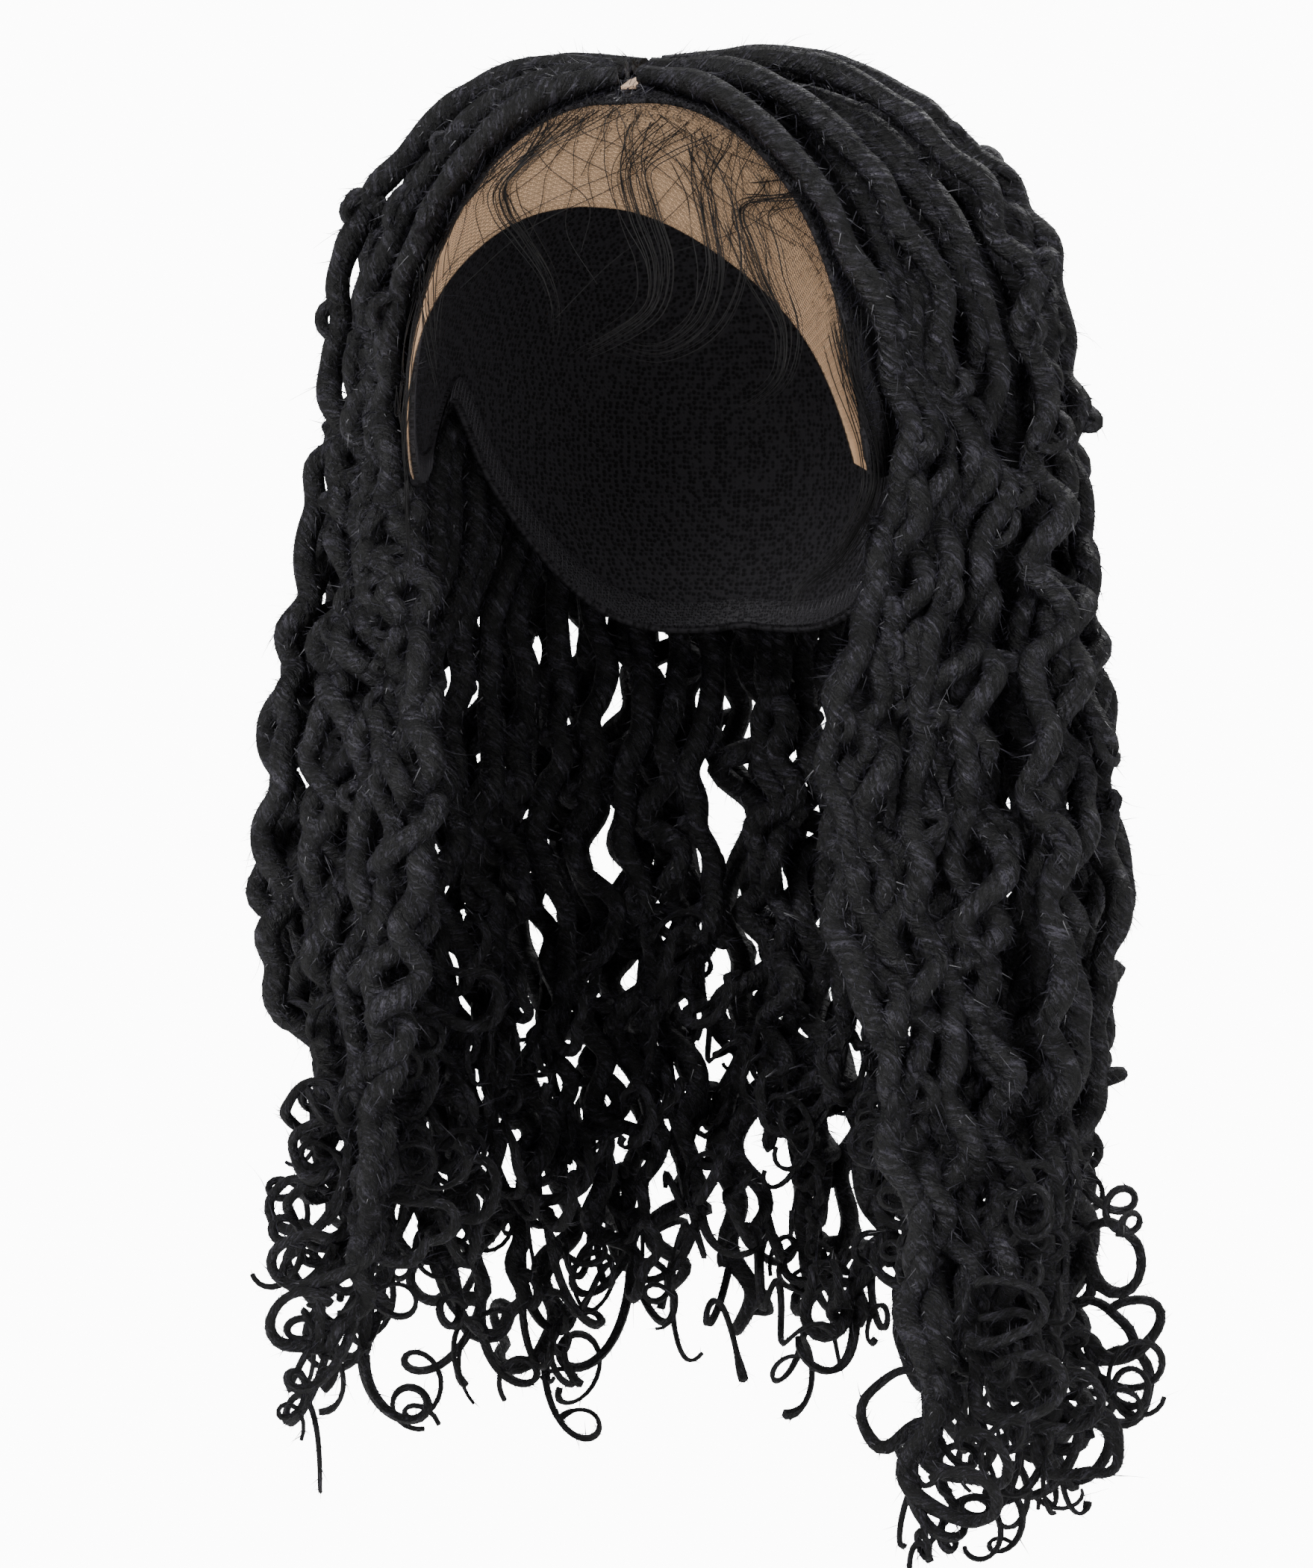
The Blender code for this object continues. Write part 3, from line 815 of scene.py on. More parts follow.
@dataclass(frozen=True)
class ShortHair:
    """A kind of short hair: its mesh, of length one along Z, and how it leaves a surface."""

    lean: float
    share: float = 1.0
    reach: float = 1.0
    straight: bool = False
    half_width: float = 0.017
    bend: float = 0.45
    knee: float = 0.6
    thinning: float = 0.8
    segments: int = 2
    upright: float = 0.55
    stray: float = 0.5
    least: float = 0.5
    extra: float = 1.5
    rarity: float = 5.0
    bends: Span = (0.3, 1.6)
    widths: Span = (0.7, 1.2)
    seed_steps: tuple[int, ...] = (11, 23, 37, 41, 43)

    def ribbon(self, graph: Graph) -> NodeSocket:
        """Build the hair as a bent ribbon that thins out.

        Args:
            graph: Tree that it is built in.

        Returns:
            The socket with the mesh.
        """
        curve = graph.out("GeometryNodeCurveQuadraticBezier", {}, {
            "Resolution": self.segments, "Start": (0, 0, 0), "Middle": (0, 0, self.knee),
            "End": (0, self.bend, 1.0)})
        factor = graph.out("GeometryNodeSplineParameter", {}, {}, "Factor")
        slim = graph.math("SUBTRACT", 1.0, graph.math("MULTIPLY", factor, self.thinning))
        profile = graph.out("GeometryNodeCurvePrimitiveLine", {},
                            {"Start": (-self.half_width, 0, 0), "End": (self.half_width, 0, 0)})
        return graph.out("GeometryNodeCurveToMesh", {}, {
            "Curve": curve, "Profile Curve": profile, "Scale": slim})

    def spike(self, graph: Graph) -> NodeSocket:
        """Build the hair as a single pointed face: corners 0 and 1 are its root and 2 its tip.

        Args:
            graph: Tree that it is built in.

        Returns:
            The socket with the mesh.
        """
        base = graph.out("GeometryNodeMeshCircle", {"fill_type": "NGON"},
                         {"Vertices": 3, "Radius": 1.0}, "Mesh")
        index = graph.out("GeometryNodeInputIndex")
        tip = graph.math("GREATER_THAN", index, 1.5)
        side = graph.math("MULTIPLY", graph.math("SUBTRACT", 1.0, tip),
                          graph.math("SUBTRACT", graph.math("MULTIPLY", index, 2.0), 1.0))
        place = graph.combined(graph.math("MULTIPLY", side, self.half_width), 0.0, tip)
        return graph.out("GeometryNodeSetPosition", {}, {"Geometry": base, "Position": place})

    def sprout(self, graph: Graph, mesh: Feed, heading: Feed, density: Feed, length: Feed,
               seed: Feed) -> NodeSocket:
        """Grow the hairs from a surface.

        Args:
            graph: Tree that they are built in.
            mesh: Surface that they grow from.
            heading: Vector field that they lie along.
            density: Hairs for each square metre.
            length: Usual length in metres.
            seed: Seed of the draws.

        Returns:
            The socket with the instances.
        """
        stray_seed, roll_seed, reach_seed, bend_seed, width_seed = (
            graph.math("ADD", seed, step) for step in self.seed_steps)
        spread = graph.add("GeometryNodeDistributePointsOnFaces", {},
                           {"Mesh": mesh, "Density": density, "Seed": seed})
        stray = graph.out("FunctionNodeRandomValue", {"data_type": "FLOAT_VECTOR"}, {
            "Min": (-self.stray,) * 3, "Max": (self.stray,) * 3, "Seed": stray_seed}, "Value")
        upright = graph.scaled(graph.pick(spread.outputs, "Normal"), self.upright)
        leaning = graph.vector("ADD", graph.scaled(heading, self.lean), upright)
        turned = graph.out("FunctionNodeAlignRotationToVector", {"axis": "Z"},
                           {"Vector": graph.vector("ADD", leaning, stray)}, "Rotation")
        roll = graph.out("FunctionNodeAxisAngleToRotation", {}, {
            "Axis": (0, 0, 1), "Angle": graph.random(0.0, TURN, roll_seed)}, "Rotation")
        turned = graph.out("FunctionNodeRotateRotation", {"rotation_space": "LOCAL"}, {0: turned, 1: roll},
                           "Rotation")
        long = graph.math("POWER", graph.random(0.0, 1.0, reach_seed), self.rarity)
        reach = graph.math("MULTIPLY", graph.math("MULTIPLY_ADD", long, self.extra, self.least), length)
        bend = graph.math("MULTIPLY", reach, graph.random(*self.bends, bend_seed))
        width = graph.math("MULTIPLY", length, graph.random(*self.widths, width_seed))
        return graph.out("GeometryNodeInstanceOnPoints", {}, {
            "Points": graph.pick(spread.outputs, "Points"),
            "Instance": self.spike(graph) if self.straight else self.ribbon(graph),
            "Rotation": turned, "Scale": graph.combined(width, bend, reach)}, "Instances")


# The fuzz on a loc: many straight short hairs, and a few longer bent ones.
FUZZ = (ShortHair(0.7, 1.0, 0.55, True, 0.052), ShortHair(0.9, 0.07, 1.1))
STUBBLE = ShortHair(1.6)


@dataclass(frozen=True)
class WrapShape:
    """How the fibre runs round every loc, and how its surface swells."""

    strand_scale: float = 100.0
    noise_scale: float = 110.0
    seed_shift: float = 7.3
    noise_turns: float = 2.2
    ridge_height: float = 0.30
    lump_height: float = 1.6


WRAP = WrapShape()


def hair_tree() -> NodeTree:
    """Tree that turns lines into wrapped locs or strands, with fuzz on them.

    Returns:
        The tree.
    """
    graph, inlet = geometry_graph("wrapped_hair", [
        Inlet("Sides", "NodeSocketInt", 9),
        Inlet("Thin sides", "NodeSocketInt", 4),
        Inlet("Twist", "NodeSocketFloat", 60.0),
        Inlet("Ridges", "NodeSocketFloat", 125.0),
        Inlet("Lump height", "NodeSocketFloat", 0.0),
        Inlet("Fuzz density", "NodeSocketFloat", 0.0),
        Inlet("Fuzz length", "NodeSocketFloat", 0.006),
        Inlet("Seed", "NodeSocketInt", 1),
        Inlet("Wrap finish", "NodeSocketMaterial"),
        Inlet("Fuzz finish", "NodeSocketMaterial"),
    ])
    curve = graph.out("GeometryNodeMeshToCurve", {}, {"Mesh": inlet["Geometry"]})
    length = graph.out("GeometryNodeSplineParameter", {}, {}, "Length")
    curve = graph.store(curve, "along", "FLOAT", length)
    curve = graph.store(curve, "heading", "FLOAT_VECTOR", graph.out("GeometryNodeInputTangent"))
    slim = graph.math("GREATER_THAN", graph.named("thin"), 0.5)
    split = graph.add("GeometryNodeSeparateGeometry", {"domain": "CURVE"},
                      {"Geometry": curve, "Selection": slim})
    skins = []
    for part, sides in (("Selection", "Thin sides"), ("Inverted", "Sides")):
        factor = graph.out("GeometryNodeSplineParameter", {}, {}, "Factor")
        ring = graph.store(graph.ring(inlet[sides], 1.0), "around", "FLOAT", factor)
        skins.append(graph.out("GeometryNodeCurveToMesh", {}, {
            "Curve": graph.pick(split.outputs, part), "Profile Curve": ring,
            "Scale": graph.named("radius"), "Fill Caps": True}))
    along, around, radius = (graph.named(name) for name in ("along", "around", "radius"))
    angle = graph.math("MULTIPLY", graph.math("MULTIPLY_ADD", along, inlet["Twist"], around), TURN)
    wrap = graph.combined(graph.math("COSINE", angle), graph.math("SINE", angle),
                          graph.math("MULTIPLY", along, WRAP.strand_scale))
    skin = graph.store(graph.joined(skins), "wrap", "FLOAT_VECTOR", wrap)
    shift = graph.combined(z=graph.math("MULTIPLY", inlet["Seed"], WRAP.seed_shift))
    place = graph.scaled(graph.out("GeometryNodeInputPosition"), WRAP.noise_scale)
    noise = graph.noise(graph.vector("ADD", place, shift), 1.0, 1.0)
    winds = graph.math("MULTIPLY_ADD", along, inlet["Ridges"], around)
    winds = graph.math("MULTIPLY_ADD", noise, WRAP.noise_turns, winds)
    ridge = graph.math("SINE", graph.math("MULTIPLY", winds, TURN))
    skin = graph.store(skin, "ridge", "FLOAT", ridge)
    ridge = graph.math("MULTIPLY", ridge, WRAP.ridge_height)
    lift = graph.math("MULTIPLY_ADD", graph.math("SUBTRACT", noise, 0.5), WRAP.lump_height, ridge)
    lift = graph.math("MULTIPLY", graph.math("MULTIPLY", lift, inlet["Lump height"]), radius)
    offset = graph.scaled(graph.out("GeometryNodeInputNormal"), lift)
    skin = graph.out("GeometryNodeSetPosition", {}, {"Geometry": skin, "Offset": offset})
    skin = graph.out("GeometryNodeSetShadeSmooth", {}, {"Geometry": skin})
    skin = graph.dressed(skin, inlet["Wrap finish"])
    heading = graph.named("heading", "FLOAT_VECTOR")
    tufts = [kind.sprout(graph, skin, heading, graph.math("MULTIPLY", inlet["Fuzz density"], kind.share),
                         graph.math("MULTIPLY", inlet["Fuzz length"], kind.reach), inlet["Seed"])
             for kind in FUZZ]
    fuzz = graph.dressed(graph.realized(graph.joined(tufts)), inlet["Fuzz finish"])
    graph.add("NodeGroupOutput", {}, {0: graph.realized(graph.joined((fuzz, skin)))})
    return graph.tree


def net_tree() -> NodeTree:
    """Tree that turns the edges of a mesh into fine threads.

    Returns:
        The tree.
    """
    graph, inlet = geometry_graph("net_threads", [
        Inlet("Thread radius", "NodeSocketFloat", 0.00007),
        Inlet("Finish", "NodeSocketMaterial"),
    ])
    curve = graph.out("GeometryNodeMeshToCurve", {}, {"Mesh": inlet["Geometry"]})
    ring = graph.ring(3, inlet["Thread radius"])
    threads = graph.out("GeometryNodeCurveToMesh", {}, {"Curve": curve, "Profile Curve": ring})
    return close_graph(graph, threads, inlet["Finish"])


def stubble_tree() -> NodeTree:
    """Tree that grows short hairs on a surface, along its attribute heading.

    Returns:
        The tree.
    """
    graph, inlet = geometry_graph("short_hairs", [
        Inlet("Density", "NodeSocketFloat", 100000.0),
        Inlet("Length", "NodeSocketFloat", 0.006),
        Inlet("Seed", "NodeSocketInt", 1),
        Inlet("Finish", "NodeSocketMaterial"),
    ])
    heading = graph.named("heading", "FLOAT_VECTOR")
    hairs = STUBBLE.sprout(graph, inlet["Geometry"], heading, inlet["Density"], inlet["Length"],
                           inlet["Seed"])
    return close_graph(graph, hairs, inlet["Finish"])


@dataclass(frozen=True)
class Finish:
    """A finish built on one Principled shader."""

    name: str
    colour: tuple[float, float, float]
    roughness: float
    sheen: float = 0.0
    specular: float = 0.5
    shades: Span = (0.6, 1.5)
    grain: float = 160.0

    def start(self) -> tuple[Material, Graph, Node]:
        """Start the material with its plain values.

        Returns:
            The material, its graph and its shader.
        """
        material = bpy.data.materials.new(self.name)
        material.use_nodes = True
        graph = Graph(material.node_tree)
        shader = material.node_tree.nodes["Principled BSDF"]
        shader.inputs["Base Color"].default_value = (*self.colour, 1.0)
        shader.inputs["Roughness"].default_value = self.roughness
        shader.inputs["Sheen Weight"].default_value = self.sheen
        shader.inputs["Specular IOR Level"].default_value = self.specular
        return material, graph, shader

    def build(self) -> Material:
        """Build the plain finish with a little variation in its colour.

        Returns:
            The material.
        """
        material, graph, shader = self.start()
        self.tint(graph, shader, graph.noise(graph.place(), self.grain, 2.0))
        return material

    def tint(self, graph: Graph, shader: Node, noise: Feed) -> None:
        """Run the colour with a noise between its darker and its lighter shade.

        Args:
            graph: Graph of the material.
            shader: Its shader.
            noise: Socket from 0, dark, to 1, light.
        """
        low, high = (tuple(min(c * shade, 1.0) for c in self.colour) for shade in self.shades)
        mixed = graph.out("ShaderNodeMix", {"data_type": "RGBA"}, {
            "Factor": noise, "A": (*low, 1.0), "B": (*high, 1.0)}, "Result")
        graph.link(mixed, shader, "Base Color")


@dataclass(frozen=True)
class WrappedFibre(Finish):
    """Kinky fibre wound round a loc: strands run steeply round it, with painted glints on the strands of the
    ridge crests and painted shade in the valleys between the ridges.
    """
    # Painted shade and painted glints: the colour runs from 0.2 times its own in shade to 12.5 times on the
    # glints.
    shades: Span = (0.20, 12.5)
    stretch: tuple[float, float, float] = (2.4, 2.4, 1.2)
    coarseness: float = 0.72
    distortion: float = 0.35
    painted_glint_window: Span = (0.48, 0.64)
    painted_valley_shade_window: Span = (-0.8, 0.7)
    gloss: float = 0.14
    roll_share: float = 1.4
    depth: float = 0.0018

    def build(self) -> Material:
        """Build the fibre: painted glints and painted shade in its colour, and its strands in roughness and
        bump.

        Returns:
            The material.
        """
        material, graph, shader = self.start()
        wrap = graph.attribute("wrap", "Vector")
        strands = graph.noise(graph.vector("MULTIPLY", wrap, self.stretch), 1.0, 3.0,
                              {"Roughness": self.coarseness, "Distortion": self.distortion})
        rolls = graph.noise(wrap, 1.0, 2.0)
        # Painted shade: the colour darkens in the valleys between the wound ridges.
        painted_crest_light = graph.window(graph.attribute("ridge", "Fac"), self.painted_valley_shade_window)
        # Painted glints: strands on the ridge crests are painted much lighter than the fibre is.
        painted_glint = graph.math("MULTIPLY", graph.window(strands, self.painted_glint_window), painted_crest_light)
        self.tint(graph, shader, painted_glint)
        dull = graph.window(painted_glint, (0.0, 1.0), (self.roughness + self.gloss, self.roughness - self.gloss))
        graph.link(dull, shader, "Roughness")
        height = graph.math("MULTIPLY_ADD", rolls, self.roll_share, strands)
        graph.link(graph.bump(height, 1.0, self.depth), shader, "Normal")
        return material


@dataclass(frozen=True)
class StretchNet(Finish):
    """Fine knitted net, by the attribute net in metres along the surface."""

    shades: Span = (0.35, 1.6)
    pitch: float = 0.0016
    scatter: float = 0.55
    thread_window: Span = (0.25, 0.55)
    strength: float = 0.8
    depth: float = 0.0005

    def build(self) -> Material:
        """Build the net, as rows of small round openings in colour and bump.

        Returns:
            The material.
        """
        material, graph, shader = self.start()
        cells = graph.out("ShaderNodeTexVoronoi", {"feature": "F1"}, {
            "Vector": graph.attribute("net", "Vector"), "Scale": 1.0 / self.pitch,
            "Randomness": self.scatter}, "Distance")
        thread = graph.window(cells, self.thread_window)
        self.tint(graph, shader, thread)
        graph.link(graph.bump(thread, self.strength, self.depth), shader, "Normal")
        return material


@dataclass(frozen=True)
class SheerFilm(Finish):
    """Sheer ground of the lace, almost clear."""

    grain: float = 900.0
    cover: float = 0.16
    unevenness: Span = (0.5, 1.5)

    def build(self) -> Material:
        """Build the ground, with its cover a little uneven.

        Returns:
            The material.
        """
        material, graph, shader = self.start()
        thin, thick = (self.cover * share for share in self.unevenness)
        cover = graph.window(graph.noise(graph.place(), self.grain, 1.0), (0.0, 1.0), (thin, thick))
        graph.link(cover, shader, "Alpha")
        return material


class Finishes:
    """All finishes of the wig."""

    def __init__(self) -> None:
        """Build each finish once."""
        self.wrap = WrappedFibre("wrapped_fibre", (0.0044, 0.0041, 0.0055), 0.46, 0.0, 0.42).build()
        # Painted highlights: the fuzz is the same black fibre as the locs, painted about five times lighter
        # to stand for the light its short hairs catch.
        self.fuzz = Finish("loose_fibre", (0.024, 0.0225, 0.032), 0.42, 0.0, 0.45).build()
        self.baby_hair = Finish("baby_hair", (0.007, 0.0065, 0.007), 0.5, 0.0, 0.30).build()
        self.cap = StretchNet("stretch_net", (0.015, 0.014, 0.0165), 0.80, 0.0, 0.3).build()
        self.band = StretchNet("woven_band", (0.018, 0.017, 0.020), 0.6, 0.0, 0.4, pitch=0.0009).build()
        self.stitch = Finish("stitch_thread", (0.045, 0.042, 0.050), 0.5, 0.0, 0.5).build()
        self.film = SheerFilm("lace_ground", (0.82, 0.53, 0.31), 0.7).build()
        self.thread = Finish("lace_thread", (0.66, 0.41, 0.23), 0.65, 0.3).build()
        self.part = StretchNet("parting_lace", (0.50, 0.34, 0.23), 0.7, 0.2, 0.4, pitch=0.0011).build()


def mount(piece: Object, slot: Slot, *nodes: str) -> Object:
    """Fix a finished piece to the wig and hide the solids that it replaces.

    Args:
        piece: Finished piece.
        slot: Slot of the record that it is finished as; not used.
        nodes: Solids that it replaces.

    Returns:
        The same piece.
    """
    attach(piece, BODY)
    if nodes:
        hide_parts(*nodes)
    triangles = sum(len(face.vertices) - 2 for face in piece.data.polygons)
    LOG.info("%s: %d triangles", piece.name, triangles)
    return piece


@dataclass(frozen=True)
class Outlet:
    """A place on a loc where a strand leaves it: the point, the loc's heading and a way out."""

    point: np.ndarray
    heading: np.ndarray
    away: np.ndarray


@dataclass(frozen=True)
class Loop:
    """A strand that leaves a loc in a small loop and goes back in."""

    reach: Span = (0.0045, 0.0105)
    growth: Span = (0.7, 0.3)
    growth_span: Span = (0.1, 0.25)
    length: Span = (0.002, 0.014)
    slant: float = 0.004
    bulge: float = 0.8
    points: int = 9
    radius: Span = (0.0015, 0.0031)

    def add(self, strands: StrandSet, outlet: Outlet, at: float, draw: Draw) -> None:
        """Add one loop to a set.

        Args:
            strands: Set that takes the line.
            outlet: Place where it starts.
            at: Distance from the loc's root to there.
            draw: Source of the draws.
        """
        grown = self.growth[0] + self.growth[1] * float(smoothstep(*self.growth_span, at))
        reach = draw.uniform(*self.reach) * grown
        length = draw.uniform(*self.length)
        side = np.cross(outlet.heading, outlet.away) * draw.uniform(-self.slant, self.slant)
        turn = np.linspace(0.0, math.pi, self.points)
        line = (outlet.point + outlet.heading * (length * (1 - np.cos(turn)) / 2)[:, None]
                + outlet.away * (reach * np.sin(turn) ** self.bulge)[:, None] + side * np.sin(turn)[:, None])
        strands.add(line, draw.uniform(*self.radius), True)


@dataclass(frozen=True)
class Ringlet:
    """A thin curl that parts from a loc near its tip."""

    follow: float = 0.4
    points: int = 38
    length: Span = (0.050, 0.105)
    wide_radius: float = 0.030
    tight_radius: Span = (0.0045, 0.0090)
    tightening: Span = (0.05, 0.55)
    drift: float = 0.5
    sway: float = 0.25
    sway_pace: Span = (4.0, 9.0)
    fall: Span = (0.10, 0.45)
    lowest: float = -0.447
    root_radius: Span = (0.0014, 0.0022)
    end_radius: Span = (0.0006, 0.0010)
    knot_chance: float = 0.35
    knot_swell: float = 0.0008
    knot_span: Span = (0.90, 0.97)

    def add(self, strands: StrandSet, outlet: Outlet, draw: Draw) -> None:
        """Add one curl to a set.

        Args:
            strands: Set that takes the line.
            outlet: Place where it starts.
            draw: Source of the draws.
        """
        down = unit(outlet.heading * self.follow + np.array([0.0, 0.0, -1.0]))
        away = unit(outlet.away - down * (outlet.away @ down))
        side = np.cross(down, away)
        share = np.linspace(0.0, 1.0, self.points)
        step = draw.uniform(*self.length) / len(share)
        tight = 1 / draw.uniform(*self.tight_radius)
        bend = blend(1 / self.wide_radius, tight, smoothstep(*self.tightening, share))
        angle = np.cumsum(step * bend) * draw.choice([-1.0, 1.0])
        drift = draw.uniform(-self.drift, self.drift) * share
        sway = drift + self.sway * np.sin(share * draw.uniform(*self.sway_pace))
        line = (down * np.cos(angle)[:, None] + away * np.sin(angle)[:, None] + side * sway[:, None])
        line[:, 2] -= draw.uniform(*self.fall)
        line = np.cumsum(line, axis=0) * step
        deepest = min(float(line[:, 2].min()), -0.001)
        line = outlet.point + line * min(1.0, (self.lowest - float(outlet.point[2])) / deepest)
        radii = blend(draw.uniform(*self.root_radius), draw.uniform(*self.end_radius), share)
        if draw.random() < self.knot_chance:
            radii = radii + self.knot_swell * smoothstep(*self.knot_span, share)
        strands.add(line, radii, True)


@dataclass
class Loc:
    """One loc: its wrapped body, a few loops of fibre that stand out, and thin ringlets at its tip."""

    course: LocCourse
    ring_step: float = 0.0023
    fewest_rings: int = 12
    crimp: float = 0.0024
    crimp_length: float = 0.034
    crimp_shares: tuple[float, ...] = (1.0, 0.7, 0.45)
    crimp_stretch: Span = (0.75, 1.7)
    crimp_growth: Span = (0.4, 0.6)
    crimp_start: Span = (0.05, 0.17)
    crimp_end: float = 0.07
    tip_crimp: float = 0.55
    skew_axis: tuple[float, float, float] = (0.31, 0.77, 0.55)
    thickness: float = 0.84
    uneven_step: float = 0.008
    uneven: Span = (-0.15, 0.13)
    loops: int = 8
    high_loops: int = 2
    high_span: Span = (0.025, 0.15)
    loop_margins: Span = (0.09, 0.06)
    ringlets: int = 2
    ringlet_span: Span = (0.045, 0.095)
    ahead: float = 0.004
    scatter: float = 0.8
    loop: Loop = Loop()
    ringlet: Ringlet = Ringlet()

    def lines(self, strands: StrandSet, seed: int) -> None:
        """Add the loc's lines to a set.

        Args:
            strands: Set that takes them.
            seed: Seed of the loc's draws.
        """
        draw = np.random.default_rng(seed)
        fine = self.course.line()
        along = lengths_along(fine)
        heading = unit(np.gradient(fine, axis=0))
        across = unit(np.cross(heading, self.skew_axis))
        ending = smoothstep(along[-1] - self.crimp_end, along[-1], along)
        strength = smoothstep(*self.crimp_start, along) * blend(1.0, self.tip_crimp, ending)
        for direction in (across, np.cross(heading, across)):
            shift = np.zeros(len(fine))
            for share in self.crimp_shares:
                growth = self.crimp_growth[0] + self.crimp_growth[1] * share
                length = self.crimp_length * draw.uniform(*self.crimp_stretch) * growth
                shift += share * np.sin(TURN * along / length + draw.uniform(*PHASES))
            fine = fine + direction * (self.crimp * strength * shift)[:, None]
        radii = self.course.radii(fine) * self.thickness
        places = np.linspace(0, along[-1], round(along[-1] / self.uneven_step))
        radii = radii * (1.0 + np.interp(along, places, draw.uniform(*self.uneven, len(places))))
        wanted = np.linspace(0.0, along[-1], max(self.fewest_rings, round(along[-1] / self.ring_step)))
        strands.add(points_at(fine, along, wanted), np.interp(wanted, along, radii), False)
        low_span = (self.loop_margins[0], along[-1] - self.loop_margins[1])
        for number in range(self.loops):
            at = draw.uniform(*(self.high_span if number < self.high_loops else low_span))
            self.loop.add(strands, self.outlet(fine, along, at, draw), at, draw)
        for _ in range(self.ringlets):
            at = along[-1] - draw.uniform(*self.ringlet_span)
            self.ringlet.add(strands, self.outlet(fine, along, at, draw), draw)

    def outlet(self, fine: np.ndarray, along: np.ndarray, at: float, draw: Draw) -> Outlet:
        """Find a place on the line and a random way out from it.

        Args:
            fine: Points of the loc's line.
            along: Distance along the line at each point.
            at: Distance along the line.
            draw: Source of the draws.

        Returns:
            The place.
        """
        point, after = points_at(fine, along, np.array([at, at + self.ahead]))
        heading = unit(after - point)
        away = unit(point * LEVEL) + draw.normal(0, self.scatter, 3)
        return Outlet(point, heading, unit(away - heading * (away @ heading)))


@dataclass
class LocSet:
    """All locs: those that stand for solids, and those between and under them."""

    finishes: Finishes
    tree: NodeTree
    strip_half: float = 0.0022
    part_back: float = 0.034
    top_roots: tuple[tuple[float, float, float], ...] = (
        (0.12, -6.90, 0.000), (0.14, -6.00, 0.105), (0.17, -5.08, 0.220), (0.21, -4.11, 0.342),
        (0.26, -3.06, 0.468), (0.32, -1.93, 0.598), (0.38, -0.68, 0.730), (1.45, 2.30, 0.862),
        (0.34, 1.70, 1.000))
    middle_ranks: tuple[float, ...] = (0.281, 0.405, 0.533, 0.664, 0.796, 0.931)
    lower_ranks: tuple[float, ...] = (0.342, 0.468, 0.598, 0.730, 0.862, 0.966)
    under_top_ranks: tuple[float, ...] = (0.025, 0.075, 0.162, 0.281, 0.405, 0.533, 0.664, 0.796, 0.931, 1.06)
    under_middle_ranks: tuple[float, ...] = (0.110, 0.200, 0.343, 0.469, 0.600, 0.730, 0.864, 1.03)
    under_lower_ranks: tuple[float, ...] = (0.160, 0.270, 0.405, 0.533, 0.664, 0.796, 0.915, 1.07)
    under_top_roots: tuple[float, float] = (30.0, 40.0)
    under_crown_ranks: tuple[float, ...] = (0.05, 0.16, 0.28, 0.405, 0.533, 0.664, 0.796, 0.90, 1.045)
    under_crown_roots: tuple[float, float] = (20.0, 17.0)
    fuzz_density: float = 150000.0
    fuzz_length: float = 0.0062
    lump_height: float = 0.42
    first_seed: int = 100

    def top_root(self, side_share: float, back: float) -> np.ndarray:
        """Direction of a top loc's root, beside the parting."""
        return HEAD.on_plan(self.strip_half + side_share * HAIR.loc_diameter,
                            self.part_back + back * HAIR.loc_diameter)

    def ring_root(self, ends: tuple[float, float], rank: float) -> np.ndarray:
        """Direction of a root on a lower ring of the cap."""
        azimuth = blend(HAIR.front_azimuth, HAIR.back_azimuth, rank)
        return HEAD.direction(azimuth, blend(ends[0], ends[1], rank))

    def courses(self, side: Side) -> dict[str, list[LocCourse]]:
        """Courses of the locs of one side.

        Args:
            side: Side of the wearer.

        Returns:
            Lists of courses by the name of their tier.
        """
        under_ends, crown_ends = (tuple(math.radians(angle) for angle in ends)
                                  for ends in (self.under_top_roots, self.under_crown_roots))
        rings = (
            (MIDDLE, HAIR.middle_roots, self.middle_ranks),
            (LOWER, HAIR.lower_roots, self.lower_ranks),
            (UNDER_CROWN, crown_ends, self.under_crown_ranks),
            (UNDER_TOP, under_ends, self.under_top_ranks),
            (UNDER_MIDDLE, HAIR.middle_roots, self.under_middle_ranks),
            (UNDER_LOWER, HAIR.lower_roots, self.under_lower_ranks),
        )
        found = {"top": [LocCourse(TOP, self.top_root(s, b), rank, side, number)
                         for number, (s, b, rank) in enumerate(self.top_roots)]}
        for tier, ends, ranks in rings:
            found[tier.name] = [LocCourse(tier, self.ring_root(ends, rank), rank, side, number)
                                for number, rank in enumerate(ranks)]
        return found

    def grow_piece(self, name: str, strands: StrandSet, seed: int) -> Object:
        """Turn a set of lines into a finished piece of hair.

        Args:
            name: Name of the piece.
            strands: Its lines.
            seed: Seed of its lumps and fuzz.

        Returns:
            The piece.
        """
        return grow(strands.object(name), self.tree, {
            "Lump height": self.lump_height, "Fuzz density": self.fuzz_density,
            "Fuzz length": self.fuzz_length, "Seed": seed,
            "Wrap finish": self.finishes.wrap, "Fuzz finish": self.finishes.fuzz})

    def build(self) -> None:
        """Build every loc."""
        seed = self.first_seed
        for side in Side:
            side_name = side.name.lower()
            for tier_name, courses in self.courses(side).items():
                under = StrandSet()
                for course in courses:
                    seed += 1
                    if tier_name.startswith("under"):
                        Loc(course, crimp=0.0036, thickness=0.80, loops=5).lines(under, seed)
                        continue
                    strands = StrandSet()
                    Loc(course).lines(strands, seed)
                    node = f"{tier_name}_loc_{side_name}_{course.number + 1}"
                    mount(self.grow_piece(f"{node}_hair", strands, seed), Slot.HAIR, node)
                if under.points:
                    mount(self.grow_piece(f"{tier_name}_locs_{side_name}", under, seed), Slot.HAIR)


